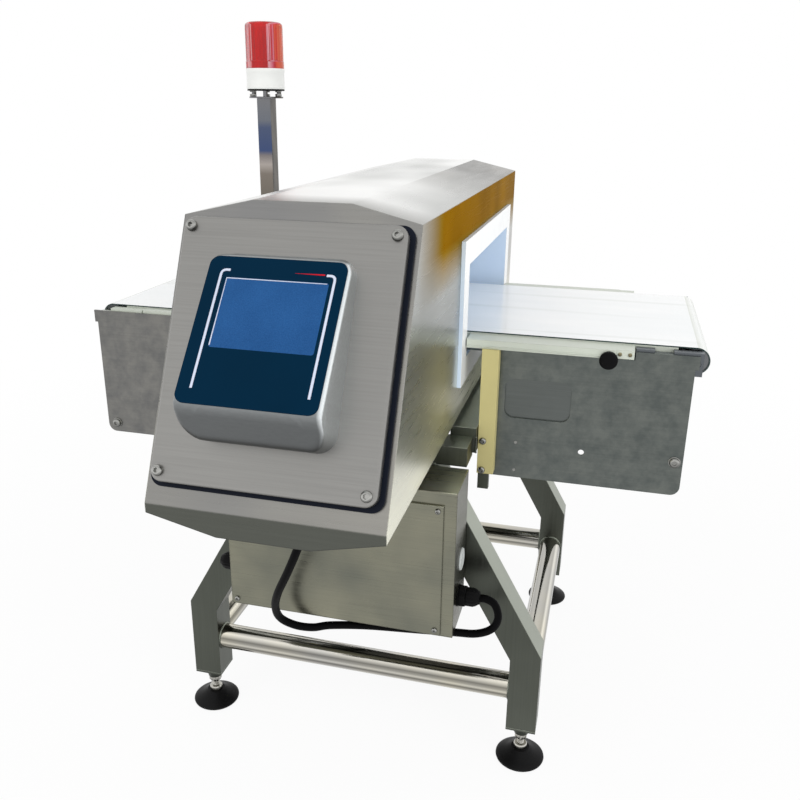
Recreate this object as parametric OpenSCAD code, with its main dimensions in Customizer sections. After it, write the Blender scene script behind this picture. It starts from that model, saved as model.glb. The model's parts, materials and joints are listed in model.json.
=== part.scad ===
/* [Stand] */
// Distance from the middle to the feet, left and right
foot_x = 277; // [265:1:290]
// Distance from the middle to the feet, front and rear
foot_y = 252; // [246:1:262]
// Outside size of the square leg tube
leg_size = 48; // [44:1:50]
// Wall of the leg tube
leg_wall = 2.5; // [1.5:0.5:4]
// Height of the lower end of the leg tube
leg_end_z = 74; // [70:1:84]
// Height of the knee on the leg's centre line
knee_z = 210; // [195:1:230]
// Lean of the upper leg, away from vertical
leg_lean = 29.6; // [27:0.2:31]
// Diameter of the round stretcher rails
rail_d = 42; // [36:1:46]
// Wall of the round stretcher rails
rail_wall = 2; // [1.5:0.5:3]
// Height of the stretcher rails' centre line
rail_z = 139; // [120:1:155]
// Height of the crossbars' underside
crossbar_z = 527; // [515:1:545]
// Height of the crossbar tube
crossbar_h = 30; // [26:1:34]
// Half the length of the crossbars
crossbar_half = 171; // [160:1:175]
// Wall of the crossbar and beam tubes
bar_wall = 2.5; // [1.5:0.5:4]
// Size of the square lengthwise beams
beam_size = 40; // [36:1:42]
// Distance from the middle to the outer face of the beams
beam_out_x = 176; // [174:1:176]
// Rise of the beams above the crossbars
beam_rise = 14; // [10:1:16]

/* [Levelling feet] */
// Diameter of the foot pad
pad_d = 80; // [70:1:90]
// Height of the foot pad
pad_h = 22; // [18:1:24]
// Diameter of the threaded stud
stud_d = 12; // [10:1:14]
// Length of the stud above the pad
stud_len = 88; // [80:1:100]
// Height of the tapered boss below the leg
boss_h = 22; // [18:1:26]
// Thickness of the lock nut
nut_h = 10; // [8:1:12]

/* [Conveyor] */
// Gap between the belt's edge and the side of the tunnel
belt_edge_gap = 24; // [23:1:30]
// Thickness of the belt
belt_t = 2; // [1.5:0.5:3]
// Diameter of the end rollers
roller_d = 36; // [34:1:38]
// Distance from the end of the side rails to the drive roller's axle, at the left end
drive_gap = 65; // [62:1:67]
// Distance from the end of the side rails to the tail roller's axle, at the right end
tail_gap = 85.5; // [82:0.5:88]
// Diameter of the return rollers
return_d = 30; // [26:1:32]
// Distance from the side plates' inner edge to the return roller axles
return_inset = 20; // [16:1:26]
// Diameter of the roller shafts
shaft_d = 12; // [10:1:14]
// Distance from the belt's edge to the outer face of the side plates
plate_gap = 20; // [19:1:22]
// Thickness of the side plates
plate_t = 3; // [2:0.5:3]
// Height of the side plates
plate_h = 216; // [210:1:222]
// How far the insulating posts lap over the side plates
post_lap = 7; // [5:1:9]
// Reach of the side plates past the end of the side rails
plate_reach = 85; // [82:1:90]
// How far the hook at the upper corner stands past the plate
plate_hook = 5; // [3:1:6]
// Height of the hook at the upper corner
hook_h = 20; // [16:1:24]
// Radius of the side plate's lower corner
plate_r = 14; // [8:1:20]
// Thickness of the slider bed
bed_t = 14; // [10:1:14]
// Gap between the slider bed and the end rollers
bed_end_gap = 7; // [5:1:12]
// Half the length of the bed's side rails
rail_half = 393; // [385:1:396]
// Width of the bed's side rails
side_rail_w = 35; // [30:1:38]
// Length at the left end over which the side rails are narrow, behind the side plates
rail_tuck_len = 73; // [66:1:75]
// Width of the insulating posts
post_w = 25; // [22:1:28]
// Thickness of the insulating posts
post_t = 20; // [18:1:24]
// Reach of the insulating posts below the beams
post_drop = 38; // [34:1:44]

/* [Detector head] */
// Width of the head along the belt
head_w = 290; // [286:1:296]
// Height of the head from keel to roof
head_h = 362; // [358:1:370]
// Flat width along the roof
roof_w = 121; // [110:1:130]
// Fall of the roof from its flat to the side walls
roof_fall = 19; // [15:1:24]
// Flat width along the underside
keel_w = 115; // [110:1:130]
// Rise of the underside from its flat to the side walls
keel_rise = 20; // [15:1:24]
// Distance from the belt's middle to the back of the head
head_back = 332; // [325:1:345]
// Distance from the belt's middle to the front of the head
head_front = 629; // [620:1:640]
// Height of the fold below the panel, above the underside
fold_h = 32; // [28:1:36]
// Lean of the front panel, away from vertical
panel_tilt = 25; // [23:0.5:27]
// Sheet thickness of the head
sheet_t = 3; // [2:0.5:3]
// Width of the tunnel
tunnel_w = 400; // [398:1:404]
// Height of the tunnel
tunnel_h = 139; // [135:1:145]
// Height of the tunnel floor above the head's underside
tunnel_floor = 111; // [109:1:113]
// Height of the belt's top above the tunnel floor
belt_rise = 34; // [34:1:36]
// Width of the tunnel flange
flange_w = 38; // [30:1:42]
// Thickness of the tunnel flange
flange_t = 6; // [4:1:8]
// Wall of the tunnel liner
liner_t = 6; // [4:1:8]
// Thickness of the isolator pads under the head
isolator_t = 6; // [5:1:8]

/* [Door and display] */
// Width of the door
door_w = 268; // [262:1:272]
// Height of the door along the panel
door_h = 309; // [304:1:312]
// Height of the door's lower edge above the fold, along the panel
door_low = 27.5; // [26:0.5:30]
// Thickness of the folded door
door_t = 15; // [12:1:17]
// Radius of the door's corners
door_r = 12; // [8:1:16]
// Thickness of the gasket behind the door
gasket_t = 5; // [4:1:7]
// How far the gasket stands past the door
gasket_lip = 5.5; // [4:0.5:8]
// Width of the display housing
hood_w = 166; // [160:1:172]
// Height of the display housing's lower edge above the fold, along the panel
hood_low = 79; // [76:1:84]
// Height of the display housing along the panel
hood_h = 215; // [206:1:220]
// Radius of the display housing's corners
hood_r = 22; // [14:1:26]
// Height of the display housing above the door at its lip
hood_lip = 68; // [62:1:74]
// Height of the display housing above the door at its top
hood_top = 22; // [18:1:28]
// Width of the screen glass
screen_w = 119; // [112:1:122]
// Height of the screen glass
screen_h = 84; // [78:1:88]

/* [Cabinet] */
// Width of the cabinet
cab_w = 350; // [344:1:356]
// Height of the cabinet
cab_h = 233; // [226:1:240]
// Depth of the cabinet
cab_d = 87; // [80:1:95]
// Sheet thickness of the cabinet
cab_t = 2; // [1:0.5:3]
// Thickness of the bracket plate behind the cabinet
cab_bracket_t = 4; // [3:1:5]
// Thickness of the cabinet cover
cover_t = 3; // [2:0.5:4]
// Diameter of a cable gland's nut
gland_d = 34; // [30:1:36]

/* [Signal lamp] */
// Size of the square lamp post
mast_size = 28; // [25:1:30]
// Wall of the lamp post
mast_wall = 1.5; // [1:0.5:2.5]
// Distance from the middle to the lamp post, towards the left end
mast_x = 337; // [330:1:345]
// Height of the top of the lamp post above the belt
mast_rise = 329; // [300:1:350]
// Diameter of the lamp's base
lamp_d = 74; // [73:1:80]
// Height of the lamp's base
lamp_base_h = 38; // [34:1:44]
// Height of the lens
lens_h = 82; // [76:1:90]

/* [Cable] */
// Diameter of the cable
cable_d = 12; // [10:1:12]

/* [Hidden] */

// Fineness of round surfaces
$fn = 48;
// Overrun of every cut
over = 1;
// Size of a half space used for cutting
vast = 3000;
// Radial clearance of a shaft in its bore
run_gap = 0.05;
// Clearance round a screw in its hole
hole_gap = 0.15;

// Heights that follow from the stand upwards
beam_z = crossbar_z + crossbar_h + beam_rise - beam_size;
head_z = crossbar_z + crossbar_h + isolator_t;
tunnel_z = head_z + tunnel_floor;
belt_z = tunnel_z + belt_rise;

// Leg
leg_half = leg_size / 2;
leg_back_y = foot_y - leg_half;
leg_face_y = foot_y + leg_half;

// Foot
foot_collar_d = 22;
foot_collar_h = 8;
nut_d = 22;
boss_plate_t = 4;
boss_top_d = 34;
boss_low_d = 24;
pad_sole_d = 74;
pad_rim_low = 4;
pad_rim_h = 6;
pad_mid_d = 58;
pad_neck_d = 30;
boss_low_z = leg_end_z - boss_h;

// Lengthwise beams, tabs and insulating posts
vent_d = 8;
tab_w = 17;
tab_t = 10;
tab_drop = 73;
tab_gap = 1;
post_screw_end = 6;
post_screw_pitch = 48;
post_screw_d = 6;
screw_dome_share = 0.65;
screw_rim_share = 0.5;
post_screw_head_d = 12;
post_screw_head_h = 4;
post_in_x = beam_out_x + tab_gap;
tab_top_z = beam_z + beam_size;
tab_low_z = beam_z - tab_drop;
post_low_z = beam_z - post_drop;
post_screw_z = post_low_z + post_screw_end;
post_screw_x = beam_out_x + tab_w / 2;

// Belt loop, whose width follows the tunnel and whose length follows the side rails
belt_w = tunnel_w - 2 * belt_edge_gap;
drive_x = rail_half + drive_gap;
tail_x = rail_half + tail_gap;
plate_in_x = post_in_x + post_w - post_lap;
plate_out_x = rail_half + plate_reach;
return_x = plate_in_x + return_inset;
roller_r = roller_d / 2;
return_r = return_d / 2;
bed_top_z = belt_z - belt_t;
roller_z = bed_top_z - roller_r - run_gap;
belt_half = belt_w / 2;
belt_in_r = roller_r + run_gap;
belt_over_r = return_r + run_gap;
strand_gap = 4;
strand_z = tunnel_z + strand_gap;
return_z = strand_z - return_r - run_gap;
roller_inset = 2;
shaft_end_gap = 0.5;
strand_fall = roller_z - return_z;
strand_span = belt_in_r + belt_over_r + belt_t;
belt_steps = 24;
strand_steps = 2;

// Conveyor bed, its rails and its plates
belt_show = 1;
bed_low_z = bed_top_z - bed_t;
plate_y = belt_half + plate_gap;
plate_in_y = plate_y - plate_t;
bed_end_left = drive_x - roller_r - bed_end_gap;
bed_end_right = tail_x - roller_r - bed_end_gap;
side_rail_gap = 2;
side_rail_in = belt_half + side_rail_gap;
side_rail_out = side_rail_in + side_rail_w;
side_rail_top = bed_top_z - belt_show;
rail_joint_len = 26;
rail_joint_gap = 2;
rail_joint_step = 4;
bearer_w = 30;
bearer_inner_gap = 52;
bearer_outer_gap = 48;
bearer_clear = 2;
bearer_inner_x = plate_in_x + bearer_inner_gap;
bearer_outer_x = rail_half - bearer_outer_gap;
bearer_h = belt_rise - bed_t - strand_gap - 2 * belt_t - bearer_clear;
bearer_low_z = bed_low_z - bearer_h;
plate_top_drop = 8;
plate_top_z = belt_z - plate_top_drop;
plate_low_z = plate_top_z - plate_h;
plate_step_drop = 4;
plate_step_z = bed_low_z - plate_step_drop;
block_in_x = rail_half + rail_joint_gap;
rail_tuck_x = rail_half - rail_tuck_len;
plate_raise_left = rail_tuck_x + rail_joint_gap;
block_strip_h = 14;
block_strip_rise = 4;
block_strip_z = plate_top_z + block_strip_rise;
block_reach = 20;
block_low = 18;
block_out_past = 9.5;
block_out_right = tail_x + block_out_past;
block_strip_short = 5;
block_neck_drop = 7;
slot_start = 26;
slot_len = 26;
slot_h = 5;
return_block_w = 24;
return_block_t = 13;
window_inset = 17;
window_len = 98;
window_low = 98;
window_r = 14;
window_lap = 6;
window_gap = 1;
window_back_t = 1.5;
window_x = plate_in_x + window_inset;
window_low_z = plate_low_z + window_low;
window_top_z = return_z - return_block_w / 2 - window_gap - window_lap;
tie_d = 14;
tie_neck_d = 8;
tie_pin_d = 5;
tie_head_d = 15;
tie_head_h = 4;
// Places of the tie rods: distance from the middle, height above the plate's lower edge
tie_inner_inset = 37;
tie_inner_x = plate_in_x + tie_inner_inset;
tie_low = 12;
tie_high = 58;
tie_end_inset_left = 17;
tie_end_h_left = 16;
tie_end_inset_right = 12;
tie_end_h_right = 53;
tie_end_left = [plate_out_x - tie_end_inset_left, tie_end_h_left];
tie_end_right = [plate_out_x - tie_end_inset_right, tie_end_h_right];
tie_inner = [[tie_inner_x, tie_high], [tie_inner_x, tie_low]];
spare_hole_inset = 147;
spare_hole_x = plate_out_x - spare_hole_inset;
spare_hole_h = 53;
spare_hole_d = 9;

// Head
head_half = head_w / 2;
roof_half = roof_w / 2;
keel_half = keel_w / 2;
roof_z = head_z + head_h;
shoulder_z = roof_z - roof_fall;
hip_z = head_z + keel_rise;
fold_z = head_z + fold_h;
tunnel_half = tunnel_w / 2;
liner_half = tunnel_half + liner_t;
liner_low_z = tunnel_z - liner_t;
liner_h = tunnel_h + 2 * liner_t;
flange_x = head_half + flange_t;
door_border_side = 22;
door_border_low = 25;
door_border_top = 25;
door_open_w = door_w - 2 * door_border_side;
door_open_low = door_low + door_border_low;
door_open_h = door_h - door_border_low - door_border_top;
bolt_x = 38;
bolt_d = 10;
bolt_head_d = 17;
bolt_head_h = 6;
pad_half = 50;
pad_inset = 1;
coil_pitch = 70;
coil_w = 16;
coil_t = 12;
rail_start = flange_x + rail_joint_gap;

// Door and display
door_skin = 2.5;
door_rim = 16;
door_rim_ends = 24;
gasket_top_lip = 3.5;
gasket_r = 15;
door_screw_inset_x = 11;
door_screw_inset_y = 12.5;
door_screw_d = 5;
door_screw_grip = 8;
door_screw_head_d = 13;
door_screw_head_h = 4;
door_off = gasket_t + door_t;
lip_rise = 33;
hood_keel = 30;
hood_wall = 3;
hood_back = 7;
hood_lip_v = hood_low + lip_rise;
hood_top_v = hood_low + hood_h - hood_back;
face_run = hood_top_v - hood_lip_v;
face_fall = hood_lip - hood_top;
face_angle = atan(face_fall / face_run);
face_len = norm([face_run, face_fall]);
fascia_t = 1.5;
fascia_margin = 3;
fascia_r = 11;
screen_t = 1;
screen_rise = 68;
screen_x = 3;
screen_r = 3;

// Cabinet
cab_gap = 1;
cab_back_y = -leg_face_y - cab_bracket_t;
cab_front_y = cab_back_y - cab_d;
cab_half = cab_w / 2;
cab_top_z = crossbar_z - cab_gap;
cab_low_z = cab_top_z - cab_h;
cover_left = 2;
cover_right = 18;
cover_top = 20;
cover_low = 2;
cover_screw_inset = 8.5;
cover_screw_d = 5;
cover_screw_grip = 6;
cover_screw_head_d = 9;
cover_screw_head_h = 3;
cover_overlap = 18;
cover_x0 = -cab_half + cover_left;
cover_x1 = cab_half - cover_right;
cover_z0 = cab_low_z + cover_low;
cover_z1 = cab_top_z - cover_top;
bracket_inset = 147;
bracket_half = foot_x - bracket_inset;
bracket_h = 106;
gland_back = 48;
gland_rise = 49;
gland_y = cab_back_y - gland_back;
gland_z = cab_low_z + gland_rise;
gland_base_h = 12;
gland_nut_h = 18;
gland_nut_d = 28;
gland_mouth_d = 22;
gland_mouth_h = 3;
gland_neck_d = 20;
gland_neck_h = 5;
head_gland_x = -7;
head_gland_y = -470;
plug_d = 34;
plug_neck_d = 28;
plug_neck_h = 4;
plug_t = 3;
plug_back = 38;
plug_y = cab_back_y - plug_back;
plug_rise = 105;
plug_z = cab_low_z + plug_rise;
drive_w = 110;
drive_h = 150;
drive_d = 60;
board_w = 150;
board_h = 110;
board_d = 70;
board_lift = 20;
board_back = 69;
board_y = -head_front + board_back;

// Lamp
mast_gap = 1;
mast_in_y = side_rail_out + mast_gap;
mast_y = mast_in_y + mast_size / 2;
mast_top_z = belt_z + mast_rise;
mast_foot = 20;
mast_low_z = plate_low_z + mast_foot;
mast_block_h = 40;
mast_block_pitch = 110;
mast_cap_t = 3;
mast_cap_d = 66;
standoff_h = 13;
standoff_d = 9;
standoff_ring = 28;
standoff_turn = 50;
lamp_z = mast_top_z + mast_cap_t + standoff_h;
lens_z = lamp_z + lamp_base_h;
lens_d = 72;
lens_collar_h = 13;
lens_collar_d = 73;
lens_wall = 2.5;
lens_bevel = 4;
lens_top_d = 50;
lens_seat_h = 3;
lamp_core_d = 30;
lamp_core_gap = 10.5;
lamp_core_h = lens_h - 2 * lens_bevel - lens_wall - lamp_core_gap;

// The origin is the middle of the overall box, on the floor
lip_reach = (door_off + hood_lip) * cos(panel_tilt) - hood_lip_v * sin(panel_tilt);
middle_y = (head_back - head_front - lip_reach) / 2;
middle_x = (tail_x + belt_in_r + belt_t - plate_out_x - plate_hook) / 2;

// Route of the cable's centre line, from the head's gland to the cabinet's
cable_route = [
    [-7, -470, 530], [-7, -470, 512], [-23, -468, 465], [-44, -455, 418], [-67, -438, 371],
    [-80, -419, 334], [-80, -402, 304], [-62, -389, 286], [-38, -378, 279], [-14, -364, 278],
    [40, -350, 278], [110, -340, 278], [172, -331, 278], [205, -328, 280], [228, -328, 293],
    [236, -328, 314], [230, -328, 335], [218, -328, 342], [208, -328, 342]
];
cable_start = [0, 0, -1];
cable_finish = [-1, 0, 0];
cable_sides = 10;
cable_steps = 3;

// A flat outline drawn in X and Z, run along Y from y0 to y1
module along_y(y0, y1) {
    translate([0, y1, 0]) rotate([90, 0, 0]) linear_extrude(y1 - y0) children();
}

// A flat outline drawn in Y and Z, run along X from x0 to x1
module along_x(x0, x1) {
    translate([x0, 0, 0]) rotate([90, 0, 90]) linear_extrude(x1 - x0) children();
}

// A cylinder along Y from y0 to y1
module rod_y(d, y0, y1) {
    translate([0, y1, 0]) rotate([90, 0, 0]) cylinder(d = d, h = y1 - y0);
}

// A cylinder along X from x0 to x1
module rod_x(d, x0, x1) {
    translate([x0, 0, 0]) rotate([0, 90, 0]) cylinder(d = d, h = x1 - x0);
}

// A box from its low corner to its high corner
module box(low, high) {
    translate(low) cube(high - low);
}

// A flat rectangle with round corners, its low corner at the origin
module round_rect(w, h, r) {
    translate([r, 0]) square([w - 2 * r, h]);
    translate([0, r]) square([w, h - 2 * r]);
    for (x = [r, w - r], y = [r, h - r]) translate([x, y]) circle(r);
}

// Puts a part drawn on the right into the left half
module side_x(side) {
    if (side < 0) mirror([1, 0, 0]) children();
    else children();
}

// Puts a part drawn at the rear into the front half
module side_y(side) {
    if (side < 0) mirror([0, 1, 0]) children();
    else children();
}

module each_corner() {
    for (sx = [-1, 1], sy = [-1, 1]) side_x(sx) side_y(sy) children();
}

// The leg's outline at a given half width, from its lower end to its upper end
function leg_outline(half, low, high) =
    let (step = half * tan(leg_lean / 2), lean = tan(leg_lean))
    [
        [foot_x - half, low],
        [foot_x + half, low],
        [foot_x + half, knee_z + step],
        [foot_x + half - (high - knee_z - step) * lean, high],
        [foot_x - half - (high - knee_z + step) * lean, high],
        [foot_x - half, knee_z - step]
    ];

module leg(sx, sy) {
    color([0.46, 0.47, 0.45]) side_x(sx) side_y(sy) difference() {
        along_y(leg_back_y, leg_face_y) polygon(leg_outline(leg_half, leg_end_z, crossbar_z));
        along_y(leg_back_y + leg_wall, leg_face_y - leg_wall)
            polygon(leg_outline(leg_half - leg_wall, leg_end_z - over, crossbar_z + over));
    }
}

module leg_front_left() { leg(-1, -1); }
module leg_front_right() { leg(1, -1); }
module leg_rear_left() { leg(-1, 1); }
module leg_rear_right() { leg(1, 1); }

module rail_along_x(sy) {
    reach = foot_x - leg_half;
    color([0.72, 0.73, 0.74]) translate([0, sy * foot_y, rail_z]) difference() {
        rod_x(rail_d, -reach, reach);
        rod_x(rail_d - 2 * rail_wall, -reach - over, reach + over);
    }
}

module rail_along_y(sx) {
    color([0.72, 0.73, 0.74]) translate([sx * foot_x, 0, rail_z]) difference() {
        rod_y(rail_d, -leg_back_y, leg_back_y);
        rod_y(rail_d - 2 * rail_wall, -leg_back_y - over, leg_back_y + over);
    }
}

module rail_front() { rail_along_x(-1); }
module rail_rear() { rail_along_x(1); }
module rail_left() { rail_along_y(-1); }
module rail_right() { rail_along_y(1); }

// Tapered boss welded into the open end of each leg
module leg_bosses() {
    bore = stud_d + 2 * run_gap;
    color([0.42, 0.43, 0.42]) each_corner() translate([foot_x, foot_y, leg_end_z]) difference() {
        union() {
            translate([-leg_half, -leg_half, -boss_plate_t])
                cube([leg_size, leg_size, boss_plate_t]);
            translate([0, 0, -boss_h]) cylinder(d1 = boss_low_d, d2 = boss_top_d, h = boss_h);
        }
        translate([0, 0, -boss_h - over]) cylinder(d = bore, h = boss_h + 2 * over);
    }
}

module foot_pad(sx, sy) {
    slope_h = (pad_h - pad_rim_h) / 2;
    color([0.07, 0.07, 0.08]) translate([sx * foot_x, sy * foot_y, 0]) {
        cylinder(d1 = pad_sole_d, d2 = pad_d, h = pad_rim_low);
        translate([0, 0, pad_rim_low]) cylinder(d = pad_d, h = pad_rim_h - pad_rim_low);
        translate([0, 0, pad_rim_h]) cylinder(d1 = pad_d, d2 = pad_mid_d, h = slope_h);
        translate([0, 0, pad_rim_h + slope_h]) cylinder(d1 = pad_mid_d, d2 = pad_neck_d, h = slope_h);
    }
}

module foot_pad_front_left() { foot_pad(-1, -1); }
module foot_pad_front_right() { foot_pad(1, -1); }
module foot_pad_rear_left() { foot_pad(-1, 1); }
module foot_pad_rear_right() { foot_pad(1, 1); }

// Threaded stud with its collar and the nut that locks it under the boss
module foot_stud(sx, sy) {
    color([0.7, 0.7, 0.68]) translate([sx * foot_x, sy * foot_y, 0]) {
        translate([0, 0, pad_h]) cylinder(d = stud_d, h = stud_len);
        translate([0, 0, pad_h]) cylinder(d = foot_collar_d, h = foot_collar_h);
        translate([0, 0, boss_low_z - nut_h]) cylinder(d = nut_d, h = nut_h, $fn = 6);
    }
}

module foot_stud_front_left() { foot_stud(-1, -1); }
module foot_stud_front_right() { foot_stud(1, -1); }
module foot_stud_rear_left() { foot_stud(-1, 1); }
module foot_stud_rear_right() { foot_stud(1, 1); }

// Two box tubes across the tops of the legs, drilled for the head's bolts
module crossbars() {
    hole = bolt_d + 2 * hole_gap;
    low = [-crossbar_half, leg_back_y, crossbar_z];
    high = [crossbar_half, leg_face_y, crossbar_z + crossbar_h];
    wall = [bar_wall, bar_wall, bar_wall];
    color([0.5, 0.5, 0.48]) for (sy = [-1, 1]) side_y(sy) difference() {
        box(low, high);
        box(low + wall, high - wall);
        for (sx = [-1, 1]) translate([sx * bolt_x, foot_y, crossbar_z - over])
            cylinder(d = hole, h = crossbar_h + 2 * over);
    }
}

// Two box tubes from crossbar to crossbar, closed at the ends and vented below
module beams() {
    low = [beam_out_x - beam_size, -leg_back_y, beam_z];
    high = [beam_out_x, leg_back_y, beam_z + beam_size];
    wall = [bar_wall, bar_wall, bar_wall];
    color([0.4, 0.4, 0.38]) for (sx = [-1, 1]) side_x(sx) difference() {
        box(low, high);
        box(low + wall, high - wall);
        for (sy = [-1, 1]) translate([beam_out_x - beam_size / 2, sy * leg_back_y / 2, beam_z - over])
            cylinder(d = vent_d, h = bar_wall + 2 * over);
    }
}

module each_post_screw() {
    for (z = [post_screw_z, post_screw_z + post_screw_pitch])
        translate([post_screw_x, 0, z]) children();
}

// A screw head seen from outside: a rim and a dome, standing out from y
module screw_head(d, h, y) {
    rod_y(d, y, y + h * screw_rim_share);
    rod_y(d * screw_dome_share, y, y + h);
}

// Steel tabs on the beams that the insulating posts are screwed to
module post_tabs() {
    color([0.42, 0.42, 0.42]) each_corner() difference() {
        box([beam_out_x, plate_y - tab_t, tab_low_z], [beam_out_x + tab_w, plate_y, tab_top_z]);
        each_post_screw() rod_y(post_screw_d + 2 * hole_gap, plate_y - tab_t - over, plate_y + over);
    }
}

// Cream posts that carry the conveyor clear of the steel stand
module insulating_posts() {
    color([0.86, 0.83, 0.64]) each_corner() difference() {
        box([post_in_x, plate_y, post_low_z], [post_in_x + post_w, plate_y + post_t, bed_low_z]);
        each_post_screw() rod_y(post_screw_d + 2 * hole_gap, plate_y - over, plate_y + post_t + over);
    }
}

module post_screws() {
    face = plate_y + post_t;
    color([0.6, 0.6, 0.58]) each_corner() each_post_screw() {
        rod_y(post_screw_d, plate_y - tab_t, face);
        screw_head(post_screw_head_d, post_screw_head_h, face);
    }
}

// Outline of a side plate in X and Z, raised past raise_x, with the hole for its end tie rod
module plate_outline(raise_x, end) {
    w = plate_out_x - plate_in_x;
    difference() {
        union() {
            translate([plate_in_x, plate_low_z]) {
                square([w - plate_r, plate_r]);
                translate([w - plate_r, plate_r]) circle(plate_r);
                translate([0, plate_r]) square([w, plate_step_z - plate_low_z - plate_r]);
            }
            translate([raise_x, plate_step_z - over])
                square([plate_out_x - raise_x, plate_top_z - plate_step_z + over]);
            translate([plate_out_x - over, plate_top_z - hook_h]) square([plate_hook + over, hook_h]);
        }
        translate([window_x, window_low_z]) round_rect(window_len, window_top_z - window_low_z, window_r);
        translate([spare_hole_x, plate_low_z + spare_hole_h]) circle(d = spare_hole_d);
        translate([end[0], plate_low_z + end[1]]) circle(d = tie_neck_d + 2 * hole_gap);
        for (tie = tie_inner) translate([tie[0], plate_low_z + tie[1]]) circle(d = tie_pin_d + 2 * hole_gap);
    }
}

// Side plate with a window that a thin sheet closes from inside
module side_plate(sx, sy) {
    color([0.47, 0.49, 0.48]) side_x(sx) side_y(sy) {
        along_y(plate_in_y, plate_y)
            if (sx < 0) plate_outline(plate_raise_left, tie_end_left);
            else plate_outline(block_in_x, tie_end_right);
        box([window_x - window_lap, plate_in_y - window_back_t, window_low_z - window_lap],
            [window_x + window_len + window_lap, plate_in_y, window_top_z + window_lap]);
    }
}

module plate_front_left() { side_plate(-1, -1); }
module plate_front_right() { side_plate(1, -1); }
module plate_rear_left() { side_plate(-1, 1); }
module plate_rear_right() { side_plate(1, 1); }

module slider_bed() {
    color([0.9, 0.92, 0.9])
        box([-bed_end_left, -belt_half, bed_low_z], [bed_end_right, belt_half, bed_top_z]);
}

// Plastic rail beside the bed, wide up to wide_x and out to narrow_out from there on
module bed_side_rail(wide_x, narrow_out) {
    box([rail_start, side_rail_in, bed_low_z], [wide_x, side_rail_out, side_rail_top]);
    box([wide_x, side_rail_in, bed_low_z], [rail_half, narrow_out, side_rail_top]);
}

// The right rails end in a joint block, and the left ones run narrow behind the plates
module bed_side_rails() {
    color([0.9, 0.9, 0.82]) for (sy = [-1, 1]) side_y(sy) {
        bed_side_rail(rail_half - rail_joint_len, side_rail_out - rail_joint_step);
        side_x(-1) bed_side_rail(rail_tuck_x, plate_in_y);
    }
}

module bed_bearers() {
    color([0.55, 0.55, 0.53]) for (sx = [-1, 1], x = [bearer_inner_x, bearer_outer_x])
        translate([sx * x - bearer_w / 2, -plate_in_y, bearer_low_z])
            cube([bearer_w, 2 * plate_in_y, bearer_h]);
}

// Block at the end of the bed that carries a roller's shaft at x. Its strip ends at strip_x,
// and its neck goes on to out_x, up to neck_z.
module axle_block(x, strip_x, out_x, neck_z, slotted) {
    difference() {
        union() {
            box([block_in_x, side_rail_in, block_strip_z - block_strip_h],
                [strip_x, plate_in_y, block_strip_z]);
            box([x - block_reach, side_rail_in, roller_z - block_low], [out_x, plate_in_y, neck_z]);
        }
        translate([x, 0, roller_z])
            rod_y(shaft_d + 2 * run_gap, side_rail_in - over, plate_in_y + over);
        if (slotted) translate([block_in_x + slot_start, side_rail_in - over, block_strip_z - slot_h])
            cube([slot_len, side_rail_w + 2 * over, slot_h + over]);
    }
}

module axle_blocks_left() {
    color([0.88, 0.9, 0.88]) for (sy = [-1, 1]) side_x(-1) side_y(sy)
        axle_block(drive_x, drive_x - block_strip_short, plate_out_x, block_strip_z - block_neck_drop, false);
}

module axle_blocks_right() {
    color([0.5, 0.52, 0.54]) for (sy = [-1, 1]) side_y(sy)
        axle_block(tail_x, tail_x, block_out_right, block_strip_z, true);
}

// Blocks inside the side plates that carry the return rollers' shafts
module return_blocks() {
    half = return_block_w / 2;
    color([0.86, 0.87, 0.85]) each_corner() translate([return_x, 0, return_z]) difference() {
        box([-half, plate_in_y - return_block_t, -half], [half, plate_in_y, half]);
        rod_y(shaft_d + 2 * run_gap, plate_in_y - return_block_t - over, plate_in_y + over);
    }
}

// Rod between the front and rear plates, with a neck through each of them
module tie_rod(place, neck_d) {
    translate([place[0], 0, plate_low_z + place[1]]) {
        rod_y(tie_d, -plate_in_y, plate_in_y);
        rod_y(neck_d, -plate_y, plate_y);
    }
}

// The end rod has a screw head at each side, and the inner two end flush with the plates
module tie_set(end) {
    tie_rod(end, tie_neck_d);
    translate([end[0], 0, plate_low_z + end[1]]) for (sy = [-1, 1])
        side_y(sy) screw_head(tie_head_d, tie_head_h, plate_y);
    for (tie = tie_inner) tie_rod(tie, tie_pin_d);
}

module tie_rods() {
    color([0.62, 0.62, 0.6]) {
        side_x(-1) tie_set(tie_end_left);
        tie_set(tie_end_right);
    }
}

// Corners of straight steps that touch a circle from outside, between two angles
function outer_arc(x, z, r, from, to, steps) =
    let (step = (to - from) / steps, reach = r / cos(step / 2))
    [for (i = [0:steps - 1])
        let (a = from + (i + 0.5) * step)
        [x + reach * cos(a), z + reach * sin(a)]];

// Slope of the lower strand between an end roller at x and the return roller beside it
function strand_angle(x) =
    let (run = x - return_x)
    atan(strand_fall / run) - asin(strand_span / norm([run, strand_fall]));

// The belt's way round an end roller at x and on over the return roller, at a height in its thickness
function belt_turn(x, t) =
    let (slope = strand_angle(x))
    concat(
        outer_arc(x, roller_z, belt_in_r + t, 90, slope - 90, belt_steps),
        outer_arc(return_x, return_z, belt_over_r + belt_t - t, 90 + slope, 90, strand_steps)
    );

// The whole loop, at a height in the belt's thickness
function belt_loop(t) =
    let (left = belt_turn(drive_x, t), last = len(left) - 1)
    concat(belt_turn(tail_x, t), [for (i = [last:-1:0]) [-left[i][0], left[i][1]]]);

module belt() {
    color([0.94, 0.96, 0.98]) along_y(-belt_half, belt_half) difference() {
        polygon(belt_loop(belt_t));
        polygon(belt_loop(0));
    }
}

module roller(x, z, d) {
    translate([x, 0, z]) {
        rod_y(d, roller_inset - belt_half, belt_half - roller_inset);
        rod_y(shaft_d, shaft_end_gap - plate_in_y, plate_in_y - shaft_end_gap);
    }
}

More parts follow.
